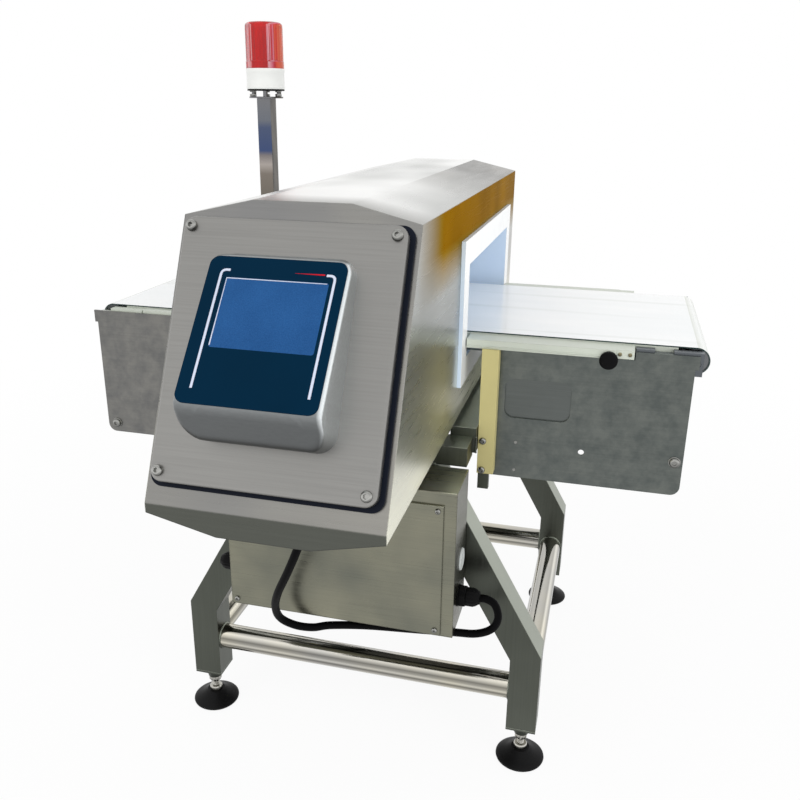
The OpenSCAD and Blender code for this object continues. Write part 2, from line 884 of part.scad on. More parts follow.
module drive_roller() { color([0.55, 0.56, 0.57]) roller(-drive_x, roller_z, roller_d); }
module tail_roller() { color([0.55, 0.56, 0.57]) roller(tail_x, roller_z, roller_d); }
module return_roller_left() { color([0.7, 0.71, 0.72]) roller(-return_x, return_z, return_d); }
module return_roller_right() { color([0.7, 0.71, 0.72]) roller(return_x, return_z, return_d); }

// The head's section in X and Z, drawn in from its outside by a sheet thickness
module head_section(t) {
    roof_slope = roof_fall / (head_half - roof_half);
    keel_slope = keel_rise / (head_half - keel_half);
    roof_drop = t * sqrt(1 + roof_slope * roof_slope);
    keel_lift = t * sqrt(1 + keel_slope * keel_slope);
    wall_x = head_half - t;
    wall_top = shoulder_z + t * roof_slope - roof_drop;
    wall_low = hip_z - t * keel_slope + keel_lift;
    roof_x = roof_half - (roof_drop - t) / roof_slope;
    keel_x = keel_half - (keel_lift - t) / keel_slope;
    polygon([
        [-wall_x, wall_low], [-keel_x, head_z + t], [keel_x, head_z + t], [wall_x, wall_low],
        [wall_x, wall_top], [roof_x, roof_z - t], [-roof_x, roof_z - t], [-wall_x, wall_top]
    ]);
}

// Panel frame: X across, Y up the sloping panel from the fold, Z out of it
module panel_frame() {
    translate([0, -head_front, fold_z]) rotate([90 - panel_tilt, 0, 0]) children();
}

// The head as a solid, drawn in by a sheet thickness
module head_solid(t) {
    difference() {
        along_y(-head_front + t, head_back - t) head_section(t);
        panel_frame() translate([-vast / 2, -vast / 2, -t]) cube([vast, vast, vast]);
    }
}

module each_head_bolt() {
    for (sx = [-1, 1], sy = [-1, 1]) translate([sx * bolt_x, sy * foot_y, 0]) children();
}

module each_door_screw() {
    x = door_w / 2 - door_screw_inset_x;
    for (sx = [-1, 1], v = [door_low + door_screw_inset_y, door_low + door_h - door_screw_inset_y])
        translate([sx * x, v, 0]) children();
}

module head_shell() {
    reach = sheet_t + over;
    color([0.62, 0.6, 0.57]) difference() {
        head_solid(0);
        head_solid(sheet_t);
        along_x(-vast, vast) translate([-liner_half, liner_low_z]) square([2 * liner_half, liner_h]);
        panel_frame() translate([-door_open_w / 2, door_open_low, -reach])
            cube([door_open_w, door_open_h, 2 * reach]);
        panel_frame() each_door_screw()
            translate([0, 0, -reach]) cylinder(d = door_screw_d + 2 * hole_gap, h = 2 * reach);
        each_head_bolt() translate([0, 0, head_z - over])
            cylinder(d = bolt_d + 2 * hole_gap, h = sheet_t + 2 * over);
        translate([head_gland_x, head_gland_y, head_z - over])
            cylinder(d = gland_neck_d + 2 * hole_gap, h = sheet_t + 2 * over);
    }
}

// White tunnel through the head with a flange on each side wall
module tunnel_liner() {
    color([0.93, 0.94, 0.95]) difference() {
        union() {
            along_x(-flange_x, flange_x) translate([-liner_half, liner_low_z])
                square([2 * liner_half, liner_h]);
            for (sx = [-1, 1]) side_x(sx) along_x(head_half, flange_x)
                translate([-tunnel_half - flange_w, tunnel_z - flange_w])
                square([tunnel_w + 2 * flange_w, tunnel_h + 2 * flange_w]);
        }
        along_x(-vast, vast) translate([-tunnel_half, tunnel_z]) square([tunnel_w, tunnel_h]);
    }
}

// Transmit coil and two receive coils wound round the liner
module search_coils() {
    color([0.72, 0.4, 0.2]) for (x = [-coil_pitch, 0, coil_pitch])
        along_x(x - coil_w / 2, x + coil_w / 2) difference() {
            translate([-liner_half - coil_t, liner_low_z - coil_t])
                square([2 * (liner_half + coil_t), liner_h + 2 * coil_t]);
            translate([-liner_half, liner_low_z]) square([2 * liner_half, liner_h]);
        }
}

module isolator_pads() {
    low_z = crossbar_z + crossbar_h;
    color([0.1, 0.1, 0.1]) for (sy = [-1, 1]) side_y(sy) difference() {
        box([-pad_half, leg_back_y + pad_inset, low_z], [pad_half, leg_face_y - pad_inset, head_z]);
        for (sx = [-1, 1]) translate([sx * bolt_x, foot_y, low_z - over])
            cylinder(d = bolt_d + 2 * hole_gap, h = isolator_t + 2 * over);
    }
}

// Bolts up through each crossbar into the head, with a nut inside the head
module head_bolts() {
    inside_z = head_z + sheet_t;
    color([0.6, 0.6, 0.58]) each_head_bolt() {
        translate([0, 0, crossbar_z]) cylinder(d = bolt_d, h = inside_z - crossbar_z);
        translate([0, 0, crossbar_z - bolt_head_h]) cylinder(d = bolt_head_d, h = bolt_head_h, $fn = 6);
        translate([0, 0, inside_z]) cylinder(d = bolt_head_d, h = bolt_head_h, $fn = 6);
    }
}

module door_gasket() {
    w = door_w + 2 * gasket_lip;
    h = door_h + gasket_lip + gasket_top_lip;
    color([0.06, 0.08, 0.12]) panel_frame() difference() {
        translate([-w / 2, door_low - gasket_lip, 0]) linear_extrude(gasket_t) round_rect(w, h, gasket_r);
        translate([-door_open_w / 2, door_open_low, -over])
            cube([door_open_w, door_open_h, gasket_t + 2 * over]);
        each_door_screw() translate([0, 0, -over])
            cylinder(d = door_screw_d + 2 * hole_gap, h = gasket_t + 2 * over);
    }
}

// Folded door with a hollow back
module panel_door() {
    color([0.66, 0.63, 0.58]) panel_frame() difference() {
        translate([-door_w / 2, door_low, gasket_t])
            linear_extrude(door_t) round_rect(door_w, door_h, door_r);
        translate([-door_w / 2 + door_rim, door_low + door_rim_ends, gasket_t - over])
            cube([door_w - 2 * door_rim, door_h - 2 * door_rim_ends, door_t - door_skin + over]);
        each_door_screw() translate([0, 0, gasket_t - over])
            cylinder(d = door_screw_d + 2 * hole_gap, h = door_t + 2 * over);
    }
}

module door_screws() {
    rim_h = door_screw_head_h * screw_rim_share;
    color([0.5, 0.48, 0.45]) panel_frame() each_door_screw() {
        translate([0, 0, -door_screw_grip]) cylinder(d = door_screw_d, h = door_screw_grip + door_off);
        translate([0, 0, door_off]) cylinder(d = door_screw_head_d, h = rim_h);
        translate([0, 0, door_off + rim_h]) cylinder(
            d1 = door_screw_head_d, d2 = door_screw_head_d * screw_dome_share, h = door_screw_head_h - rim_h
        );
    }
}

// The display housing's wedge, drawn in by a wall and sunk below its back by a depth
module hood_solid(t, sink) {
    w = hood_w - 2 * t;
    intersection() {
        along_x(-w / 2, w / 2) polygon([
            [hood_low + t, door_off - sink], [hood_low + t, door_off + hood_keel - t],
            [hood_lip_v, door_off + hood_lip - 2 * t], [hood_top_v - t, door_off + hood_top - t],
            [hood_low + hood_h - t, door_off - sink]
        ]);
        translate([-w / 2, hood_low + t, 0])
            linear_extrude(door_off + 2 * hood_lip) round_rect(w, hood_h - 2 * t, hood_r - t);
    }
}

// Hollow housing that leans the display towards the reader, open to the door
module display_housing() {
    color([0.6, 0.6, 0.58]) panel_frame() difference() {
        hood_solid(0, 0);
        hood_solid(hood_wall, over);
    }
}

// Frame on the display's face: X across, Y up from the lip, Z out
module face_frame() {
    panel_frame() translate([0, hood_lip_v, door_off + hood_lip]) rotate([-face_angle, 0, 0]) children();
}

module screen_outline() {
    translate([screen_x - screen_w / 2, screen_rise]) round_rect(screen_w, screen_h, screen_r);
}

module display_fascia() {
    w = hood_w - 2 * fascia_margin;
    color([0.05, 0.13, 0.24]) face_frame() difference() {
        translate([-w / 2, fascia_margin, 0]) linear_extrude(fascia_t)
            round_rect(w, face_len - 2 * fascia_margin, fascia_r);
        translate([0, 0, fascia_t - screen_t]) linear_extrude(screen_t + over) screen_outline();
    }
}

module touch_screen() {
    color([0.13, 0.33, 0.62]) face_frame() translate([0, 0, fascia_t - screen_t])
        linear_extrude(screen_t) screen_outline();
}

module each_cover_screw() {
    for (x = [cover_x0 + cover_screw_inset, cover_x1 - cover_screw_inset],
        z = [cover_z0 + cover_screw_inset, cover_z1 - cover_screw_inset])
        translate([x, 0, z]) children();
}

module cabinet_shell() {
    low = [-cab_half, cab_front_y, cab_low_z];
    high = [cab_half, cab_back_y, cab_top_z];
    wall = [cab_t, cab_t, cab_t];
    reach = cab_t + over;
    color([0.5, 0.5, 0.48]) difference() {
        box(low, high);
        box(low + wall, high - wall);
        box([cover_x0 + cover_overlap, cab_front_y - over, cover_z0 + cover_overlap],
            [cover_x1 - cover_overlap, cab_front_y + reach, cover_z1 - cover_overlap]);
        each_cover_screw() rod_y(cover_screw_d + 2 * hole_gap, cab_front_y - over, cab_front_y + reach);
        for (sx = [-1, 1]) side_x(sx) translate([cab_half, gland_y, gland_z])
            rod_x(gland_neck_d + 2 * hole_gap, -reach, over);
        translate([cab_half, plug_y, plug_z]) rod_x(plug_neck_d + 2 * hole_gap, -reach, over);
    }
}

module cabinet_cover() {
    color([0.56, 0.56, 0.54]) difference() {
        box([cover_x0, cab_front_y - cover_t, cover_z0], [cover_x1, cab_front_y, cover_z1]);
        each_cover_screw()
            rod_y(cover_screw_d + 2 * hole_gap, cab_front_y - cover_t - over, cab_front_y + over);
    }
}

module cover_screws() {
    face = cover_t - cab_front_y;
    color([0.6, 0.6, 0.58]) each_cover_screw() side_y(-1) {
        rod_y(cover_screw_d, face - cover_screw_grip, face);
        screw_head(cover_screw_head_d, cover_screw_head_h, face);
    }
}

module cabinet_bracket() {
    color([0.45, 0.45, 0.43])
        box([-bracket_half, cab_back_y, cab_top_z - bracket_h], [bracket_half, -leg_face_y, cab_top_z]);
}

// Belt drive's inverter in the cabinet and the detector's boards in the head
module control_modules() {
    drive_back = cab_back_y - cab_t;
    floor_z = head_z + sheet_t;
    color([0.3, 0.32, 0.35]) {
        translate([-drive_w, drive_back - drive_d, cab_low_z + cab_t]) cube([drive_w, drive_d, drive_h]);
        translate([-board_w / 2, board_y, floor_z + board_lift]) cube([board_w, board_d, board_h]);
        translate([-keel_half / 2, board_y, floor_z]) cube([keel_half, board_d, board_lift]);
    }
}

// A cable gland standing up from the origin, its neck through a sheet
module gland() {
    nut_z = gland_base_h + gland_nut_h;
    translate([0, 0, -gland_neck_h]) cylinder(d = gland_neck_d, h = gland_neck_h);
    cylinder(d = gland_d, h = gland_base_h, $fn = 6);
    cylinder(d = gland_nut_d, h = nut_z);
    translate([0, 0, nut_z]) cylinder(d1 = gland_nut_d, d2 = gland_mouth_d, h = gland_mouth_h);
}

module cable_glands() {
    color([0.06, 0.06, 0.06]) {
        for (sx = [-1, 1]) side_x(sx) translate([cab_half, gland_y, gland_z]) rotate([0, 90, 0]) gland();
        translate([head_gland_x, head_gland_y, head_z]) rotate([180, 0, 0]) gland();
    }
}

module blanking_plug() {
    color([0.85, 0.86, 0.85]) translate([cab_half, plug_y, plug_z]) {
        rod_x(plug_neck_d, -plug_neck_h, 0);
        rod_x(plug_d, 0, plug_t);
    }
}

// Square post held to the rear left side plate by two blocks
module lamp_post() {
    half = mast_size / 2;
    bore = half - mast_wall;
    color([0.5, 0.5, 0.48]) translate([-mast_x, mast_y, 0]) {
        difference() {
            box([-half, -half, mast_low_z], [half, half, mast_top_z]);
            box([-bore, -bore, mast_low_z - over], [bore, bore, mast_top_z + over]);
        }
        for (z = [mast_low_z, mast_low_z + mast_block_pitch])
            box([-half, plate_y - mast_y, z], [half, -half, z + mast_block_h]);
        translate([0, 0, mast_top_z]) cylinder(d = mast_cap_d, h = mast_cap_t);
        for (k = [0:2]) rotate(standoff_turn + 120 * k) translate([standoff_ring, 0, mast_top_z + mast_cap_t])
            cylinder(d = standoff_d, h = standoff_h);
    }
}

// Lamp's base with a seat for the lens and a core of light sources
module lamp_base() {
    color([0.93, 0.93, 0.91]) translate([-mast_x, mast_y, lamp_z]) {
        cylinder(d = lamp_d, h = lamp_base_h);
        translate([0, 0, lamp_base_h]) cylinder(d = lens_d - 2 * lens_wall, h = lens_seat_h);
        translate([0, 0, lamp_base_h]) cylinder(d = lamp_core_d, h = lamp_core_h);
    }
}

module lamp_lens() {
    wall_h = lens_h - 2 * lens_bevel;
    inner_d = lens_d - 2 * lens_wall;
    mid_d = lens_d - 2 * lens_bevel;
    color([0.85, 0.08, 0.06]) translate([-mast_x, mast_y, lens_z]) difference() {
        union() {
            cylinder(d = lens_d, h = wall_h);
            cylinder(d = lens_collar_d, h = lens_collar_h);
            translate([0, 0, wall_h]) cylinder(d1 = lens_d, d2 = mid_d, h = lens_bevel);
            translate([0, 0, wall_h + lens_bevel]) cylinder(d1 = mid_d, d2 = lens_top_d, h = lens_bevel);
        }
        translate([0, 0, -over]) cylinder(d = inner_d, h = wall_h - lens_wall + over);
    }
}

// A point on the smooth curve through four neighbours of the route
function curve_point(a, b, c, d, t) =
    0.5 * (2 * b + (c - a) * t + (2 * a - 5 * b + 4 * c - d) * t * t
        + (3 * b - a - 3 * c + d) * t * t * t);

function curve_points(route, steps) =
    let (last = len(route) - 1)
    concat(
        [for (i = [0:last - 1], k = [0:steps - 1])
            curve_point(route[max(i - 1, 0)], route[i], route[i + 1], route[min(i + 2, last)], k / steps)],
        [route[last]]
    );

function unit(v) = v / norm(v);

// Direction of travel at each point of a path, set at its ends
function path_tangents(path, start, finish) =
    let (last = len(path) - 1)
    [for (i = [0:last]) i == 0 ? start : i == last ? finish : unit(path[i + 1] - path[i - 1])];

// Directions square to the path, each turned as little as possible from the last
function path_normals(tangents) =
    [for (
        i = 0, n = unit(cross(tangents[0], [0, 1, 0]));
        i < len(tangents);
        i = i + 1, n = i < len(tangents) ? unit(n - (n * tangents[i]) * tangents[i]) : n
    ) n];

// Round tube along a route, as one closed skin of rings
module swept_tube(route, start, finish, d, sides, steps) {
    path = curve_points(route, steps);
    tangents = path_tangents(path, start, finish);
    normals = path_normals(tangents);
    rings = len(path);
    points = [for (i = [0:rings - 1], s = [0:sides - 1])
        let (a = 360 * s / sides, n = normals[i], b = cross(tangents[i], n))
        path[i] + d / 2 * (cos(a) * n + sin(a) * b)];
    walls = [for (i = [0:rings - 2], s = [0:sides - 1], half = [0, 1])
        let (p = i * sides + s, q = i * sides + (s + 1) % sides)
        half == 0 ? [p, p + sides, q + sides] : [p, q + sides, q]];
    first_cap = [for (s = [1:sides - 2]) [0, s, s + 1]];
    last_cap = let (o = (rings - 1) * sides) [for (s = [1:sides - 2]) [o, o + s + 1, o + s]];
    polyhedron(points, concat(walls, first_cap, last_cap));
}

module cable() {
    color([0.05, 0.05, 0.06])
        swept_tube(cable_route, cable_start, cable_finish, cable_d, cable_sides, cable_steps);
}

// Moves a part from the belt's middle to the middle of the overall box
module placed() {
    translate([-middle_x, -middle_y, 0]) children();
}

placed() leg_front_left();
placed() leg_front_right();
placed() leg_rear_left();
placed() leg_rear_right();
placed() rail_front();
placed() rail_rear();
placed() rail_left();
placed() rail_right();
placed() leg_bosses();
placed() foot_pad_front_left();
placed() foot_pad_front_right();
placed() foot_pad_rear_left();
placed() foot_pad_rear_right();
placed() foot_stud_front_left();
placed() foot_stud_front_right();
placed() foot_stud_rear_left();
placed() foot_stud_rear_right();
placed() crossbars();
placed() beams();
placed() post_tabs();
placed() insulating_posts();
placed() post_screws();
placed() plate_front_left();
placed() plate_front_right();
placed() plate_rear_left();
placed() plate_rear_right();
placed() slider_bed();
placed() bed_side_rails();
placed() bed_bearers();
placed() axle_blocks_left();
placed() axle_blocks_right();
placed() return_blocks();
placed() tie_rods();
placed() belt();
placed() drive_roller();
placed() tail_roller();
placed() return_roller_left();
placed() return_roller_right();
placed() head_shell();
placed() tunnel_liner();
placed() search_coils();
placed() isolator_pads();
placed() head_bolts();
placed() door_gasket();
placed() panel_door();
placed() door_screws();
placed() display_housing();
placed() display_fascia();
placed() touch_screen();
placed() cabinet_shell();
placed() cabinet_cover();
placed() cover_screws();
placed() cabinet_bracket();
placed() control_modules();
placed() cable_glands();
placed() blanking_plug();
placed() lamp_post();
placed() lamp_base();
placed() lamp_lens();
placed() cable();
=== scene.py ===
import json
import math

import bmesh
import bpy
from mathutils import Matrix, Vector

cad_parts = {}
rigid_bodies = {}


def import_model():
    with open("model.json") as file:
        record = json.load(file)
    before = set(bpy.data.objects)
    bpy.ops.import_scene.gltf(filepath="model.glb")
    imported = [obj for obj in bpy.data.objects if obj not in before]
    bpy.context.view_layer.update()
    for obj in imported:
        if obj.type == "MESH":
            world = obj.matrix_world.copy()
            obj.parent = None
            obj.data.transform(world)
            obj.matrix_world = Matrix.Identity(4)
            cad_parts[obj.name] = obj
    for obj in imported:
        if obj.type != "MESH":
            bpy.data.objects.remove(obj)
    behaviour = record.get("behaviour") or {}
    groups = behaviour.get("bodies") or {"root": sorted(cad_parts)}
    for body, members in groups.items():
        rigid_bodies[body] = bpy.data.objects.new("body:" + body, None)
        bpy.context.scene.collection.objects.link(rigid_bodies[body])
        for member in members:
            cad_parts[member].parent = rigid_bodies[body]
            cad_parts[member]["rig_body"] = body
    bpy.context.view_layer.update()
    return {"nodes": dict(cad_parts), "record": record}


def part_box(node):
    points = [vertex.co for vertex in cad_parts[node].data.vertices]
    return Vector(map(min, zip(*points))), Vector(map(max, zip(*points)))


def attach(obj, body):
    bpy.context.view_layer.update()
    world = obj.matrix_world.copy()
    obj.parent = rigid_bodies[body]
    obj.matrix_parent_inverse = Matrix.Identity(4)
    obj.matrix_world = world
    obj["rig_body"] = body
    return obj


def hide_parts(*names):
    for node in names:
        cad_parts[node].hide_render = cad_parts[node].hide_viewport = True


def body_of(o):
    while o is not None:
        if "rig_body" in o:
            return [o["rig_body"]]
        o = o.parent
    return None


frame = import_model()
nodes = frame["nodes"]
MM = 0.001

# The frame's origin is the middle of the overall box. The machine's own middle, over the
# feet, is used for most places here: it is read off the feet.
foot_low, foot_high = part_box("foot_pad_front_left")
rear_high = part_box("foot_pad_rear_right")[1]
MIDDLE = Vector(((foot_low.x + rear_high.x) / 2, (foot_low.y + rear_high.y) / 2, 0))


def at(x, y, z):
    """A point in metres, from millimetres measured from the middle of the feet."""
    return MIDDLE + Vector((x, y, z)) * MM


def add(name, data):
    """A new object in the scene."""
    obj = bpy.data.objects.new(name, data)
    bpy.context.scene.collection.objects.link(obj)
    return obj


def new_node(tree, kind, values=None):
    """A shader node of a kind, with the values of its inputs."""
    node = tree.nodes.new("ShaderNode" + kind)
    for socket, value in (values or {}).items():
        node.inputs[socket].default_value = value
    return node


# Camera

# As solved from the photograph: its place in millimetres, its turns in radians and its lens in pixels
CAMERA_PLACE = (353.5, -1402.7, 1035.3)
CAMERA_YAW = 0.25667
CAMERA_PITCH = 0.34354
CAMERA_ROLL = 0.00982
SENSOR = 36.0
FOCAL = 841.9
IMAGE = 800
IMAGE_CENTRE = (392.98, 401.58)


def make_camera():
    data = bpy.data.cameras.new("camera")
    cam = add("camera", data)
    yaw, pitch, roll = CAMERA_YAW, CAMERA_PITCH, CAMERA_ROLL
    forward = Vector((-math.sin(yaw) * math.cos(pitch), math.cos(yaw) * math.cos(pitch), -math.sin(pitch)))
    right = Vector((math.cos(yaw), math.sin(yaw), 0))
    up = right.cross(forward)
    right_rolled = math.cos(roll) * right + math.sin(roll) * up
    up_rolled = math.cos(roll) * up - math.sin(roll) * right
    turn = Matrix((right_rolled, up_rolled, -forward)).transposed()
    cam.matrix_world = Matrix.Translation(at(*CAMERA_PLACE)) @ turn.to_4x4()
    data.sensor_width = SENSOR
    data.lens = FOCAL * SENSOR / IMAGE
    data.shift_x = (IMAGE / 2 - IMAGE_CENTRE[0]) / IMAGE
    data.shift_y = (IMAGE_CENTRE[1] - IMAGE / 2) / IMAGE
    bpy.context.scene.camera = cam


make_camera()

# Cable

CABLE_ROUTE = [
    (-7, -470, 530), (-7, -470, 512), (-23, -468, 465), (-44, -455, 418), (-67, -438, 371),
    (-80, -419, 334), (-80, -402, 304), (-62, -389, 286), (-38, -378, 279), (-14, -364, 278),
    (40, -350, 278), (110, -340, 278), (172, -331, 278), (205, -328, 280), (228, -328, 293),
    (236, -328, 314), (230, -328, 335), (218, -328, 342), (208, -328, 342),
]
CABLE_DIAMETER = 12 * MM
CABLE_STEPS = 6
CABLE_ROUNDNESS = 4


def smooth_route(route, steps):
    """Points on the smooth curve through a route, as the solid's tube follows it."""
    points = [at(*p) for p in route]
    last = len(points) - 1
    out = []
    for i in range(last):
        a, b, c, d = points[max(i - 1, 0)], points[i], points[i + 1], points[min(i + 2, last)]
        for k in range(steps):
            t = k / steps
            out.append(0.5 * (2 * b + (c - a) * t + (2 * a - 5 * b + 4 * c - d) * t * t
                              + (3 * b - a - 3 * c + d) * t * t * t))
    return out + [points[last]]


def tube_curve(name, points, diameter):
    """A round tube along points. Its bevel is 1 so that each point's radius is the tube's own."""
    curve = bpy.data.curves.new(name, "CURVE")
    curve.dimensions = "3D"
    curve.bevel_depth = 1
    curve.bevel_resolution = CABLE_ROUNDNESS
    spline = curve.splines.new("POLY")
    spline.points.add(len(points) - 1)
    for slot, p in zip(spline.points, points):
        slot.co = (*p, 1)
        slot.radius = diameter / 2
    spline.use_smooth = True
    return add(name, curve)


cable_points = smooth_route(CABLE_ROUTE, CABLE_STEPS)
cable = tube_curve("cable_run", cable_points, CABLE_DIAMETER)
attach(cable, "machine")
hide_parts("cable")

# Materials

EDGE_SAMPLES = 4
BUMP_DEPTH = 0.1 * MM


def srgb(r, g, b):
    """A colour written 0 to 255 as seen, in the linear values that the shader takes."""
    def linear(c):
        c = c / 255
        return c / 12.92 if c <= 0.04045 else ((c + 0.055) / 1.055) ** 2.4
    return (linear(r), linear(g), linear(b), 1.0)


def shade(colour, share):
    return tuple(min(1.0, c * share) for c in colour[:3]) + (1.0,)


# Each material, under its own name
materials = {}


class Graph:
    """A new material's node tree, with short calls for the nodes used here."""

    def __init__(self, name, metallic=0.0, roughness=0.5, edge=0.8):
        mat = bpy.data.materials.new(name)
        mat.use_nodes = True
        materials[name] = mat
        self.tree = mat.node_tree
        self.tree.nodes.clear()
        out = self.new("OutputMaterial")
        self.bsdf = self.new("BsdfPrincipled", {"Metallic": metallic, "Roughness": roughness})
        self.link(self.bsdf.outputs[0], out.inputs[0])
        self.coord = self.new("TexCoord")
        self.edge = self.new("Bevel", {"Radius": edge * MM})
        self.edge.samples = EDGE_SAMPLES
        self.link(self.edge.outputs[0], self.bsdf.inputs["Normal"])

    def new(self, kind, values=None):
        return new_node(self.tree, kind, values)

    def link(self, a, b):
        self.tree.links.new(a, b)

    def set(self, socket, value):
        self.bsdf.inputs[socket].default_value = value

    def feed(self, value, socket):
        if isinstance(value, bpy.types.NodeSocket):
            self.link(value, socket)
        else:
            socket.default_value = value

    def mapping(self, scale=(1, 1, 1)):
        node = self.new("Mapping", {"Scale": scale})
        self.link(self.coord.outputs["Object"], node.inputs["Vector"])
        return node.outputs[0]

    def noise(self, scale, stretch=(1, 1, 1), detail=3.0, rough=0.5):
        node = self.new("TexNoise", {"Scale": scale, "Detail": detail, "Roughness": rough})
        self.link(self.mapping(stretch), node.inputs["Vector"])
        return node.outputs["Fac"]

    def bands(self, value, stops):
        """Colours at places from 0 to 1 along a value."""
        node = self.new("ValToRGB")
        points = node.color_ramp.elements
        while len(points) < len(stops):
            points.new(0.5)
        for point, (position, colour) in zip(points, stops):
            point.position = position
            point.color = colour
        self.link(value, node.inputs[0])
        return node.outputs[0]

    def ramp(self, value, low, high, low_colour, high_colour):
        return self.bands(value, [(low, low_colour), (high, high_colour)])

    def mix(self, share, a, b, mode="MIX"):
        node = self.new("Mix")
        node.data_type = "RGBA"
        node.blend_type = mode
        # 6, 7 and 2 are the sockets of the node's colours
        self.feed(share, node.inputs[0])
        self.feed(a, node.inputs[6])
        self.feed(b, node.inputs[7])
        return node.outputs[2]

    def times(self, a, b, share=1.0):
        """One colour multiplied by another."""
        return self.mix(share, a, b, "MULTIPLY")

    def span(self, value, low, high, from_low=0.3, from_high=0.7):
        node = self.new("MapRange", {
            "From Min": from_low, "From Max": from_high, "To Min": low, "To Max": high,
        })
        self.link(value, node.inputs["Value"])
        return node.outputs[0]

    def facing(self, axis):
        """How far the surface looks along an axis, from -1 to 1."""
        split = self.new("SeparateXYZ")
        self.link(self.edge.outputs[0], split.inputs[0])
        return split.outputs[axis]

    def position(self, axis):
        """The place in the object along an axis, in metres."""
        split = self.new("SeparateXYZ")
        self.link(self.mapping(), split.inputs[0])
        return split.outputs[axis]

    def aside(self, axis):
        """How far the place lies from the machine's middle along an axis, to either side."""
        offset = self.new("Math", {1: MIDDLE["XYZ".index(axis)]})
        offset.operation = "SUBTRACT"
        self.link(self.position(axis), offset.inputs[0])
        distance = self.new("Math")
        distance.operation = "ABSOLUTE"
        self.link(offset.outputs[0], distance.inputs[0])
        return distance.outputs[0]

    def bump(self, height, strength):
        node = self.new("Bump", {"Strength": strength, "Distance": BUMP_DEPTH})
        self.link(height, node.inputs["Height"])
        self.link(self.edge.outputs[0], node.inputs["Normal"])
        self.link(node.outputs[0], self.bsdf.inputs["Normal"])

    def colour(self, value):
        self.feed(value, self.bsdf.inputs["Base Color"])

    def rough(self, value):
        self.feed(value, self.bsdf.inputs["Roughness"])


# Brush marks: how a pattern is stretched along them, and how fine it is
ALONG_X = (0.02, 1, 1)
ALONG_Y = (1, 0.02, 1)
ALONG_Z = (1, 1, 0.02)
LEVEL = (0.03, 0.03, 1)
STREAK_SCALE = 380
# Fine grains of polished steel and of plastic
POLISH_GRAIN = 260
PLASTIC_GRAIN = 700
WHITE = (1, 1, 1, 1)


def brushed(name, colour, grain, roughness=0.34, contrast=0.1, cloud=3.0, edge=0.8,
            below=0.6, above=1.5, side=1.0, warm=None):
    """Brushed steel. grain stretches the brush marks: small along them, large across.
    below and above set a painted reflection: a sheet that looks down is darkened by below, as if it showed
    the dark floor of a workshop, and one that looks up is brightened by above, as if it showed its light.
    side scales the faces towards the outfeed end, a painted light above 1 and a painted shade below 1,
    and warm is a painted reflection of a painted wall, mixed into the cloudy tone."""
    g = Graph(name, metallic=1.0, edge=edge)
    streaks = g.noise(STREAK_SCALE, grain, detail=3, rough=0.6)
    clouds = g.noise(cloud, detail=3)
    # warm mixes a painted reflection of a painted wall into the cloudy tone.
    base = g.ramp(clouds, 0.3, 0.72, shade(colour, 1 - contrast), shade(warm or colour, 1 + contrast))
    lines = g.ramp(streaks, 0.3, 0.7, shade(WHITE, 0.84), WHITE)
    # Painted reflection: faces that look down are darkened, faces that look up brightened.
    up = g.facing("Z")
    painted_reflection = g.times(g.span(up, below, 1.0, -0.7, 0), g.span(up, 1.0, above, 0, 0.9))
    # Painted light and shade: faces towards the outfeed end are scaled by side.
    outfeed = g.span(g.facing("X"), 1.0, side, 0.3, 0.9)
    base = g.times(base, outfeed)
    g.colour(g.times(g.times(base, lines, 0.8), painted_reflection))
    g.rough(g.span(streaks, roughness - 0.05, roughness + 0.07))
    g.bump(streaks, 0.05)


def polished(name, stops, tint, roughness=0.12, warm=None):
    """Polished tube, with painted reflections: the bands of a room along it by how far each side looks up."""
    g = Graph(name, metallic=1.0, roughness=roughness, edge=0.5)
    # Painted reflection: the bands of a room, by how far each side looks up.
    toward = g.span(g.facing("Z"), 0, 1, -1, 1)
    bands = g.bands(toward, [(place, shade(tint, level)) for place, level in stops])
    clouds = g.noise(6, detail=2)
    drift = g.ramp(clouds, 0.35, 0.7, shade(WHITE, 0.8), warm or WHITE)
    g.colour(g.times(bands, drift))
    fine = g.noise(POLISH_GRAIN, detail=2)
    g.rough(g.span(fine, roughness - 0.03, roughness + 0.05))


def plastic(name, colour, roughness=0.45, contrast=0.06, coat=0.0, specular=0.5, edge=0.8):
    """Moulded plastic, rubber or paint, faintly cloudy, with a fine grain."""
    g = Graph(name, roughness=roughness, edge=edge)
    clouds = g.noise(9, detail=4)
    fine = g.noise(PLASTIC_GRAIN, detail=2)
    g.colour(g.ramp(clouds, 0.3, 0.7, shade(colour, 1 - contrast), shade(colour, 1 + contrast)))
    g.rough(g.span(clouds, roughness - 0.05, roughness + 0.07))
    g.bump(fine, 0.04)
    g.set("Coat Weight", coat)
    g.set("Specular IOR Level", specular)


# Where the head's painted reflections and shade change, from and to, in metres of depth (Y) or height (Z)
WARM_REFLECTION_Y = (-0.34, -0.2)
WARM_REFLECTION_Z = (0.8, 0.86)
LOW_REFLECTION_Z = (0.6, 0.74)
ROOF_Y = (-0.31, -0.24)
SHADED_SLOPE_Y = (-0.1, 0.3)


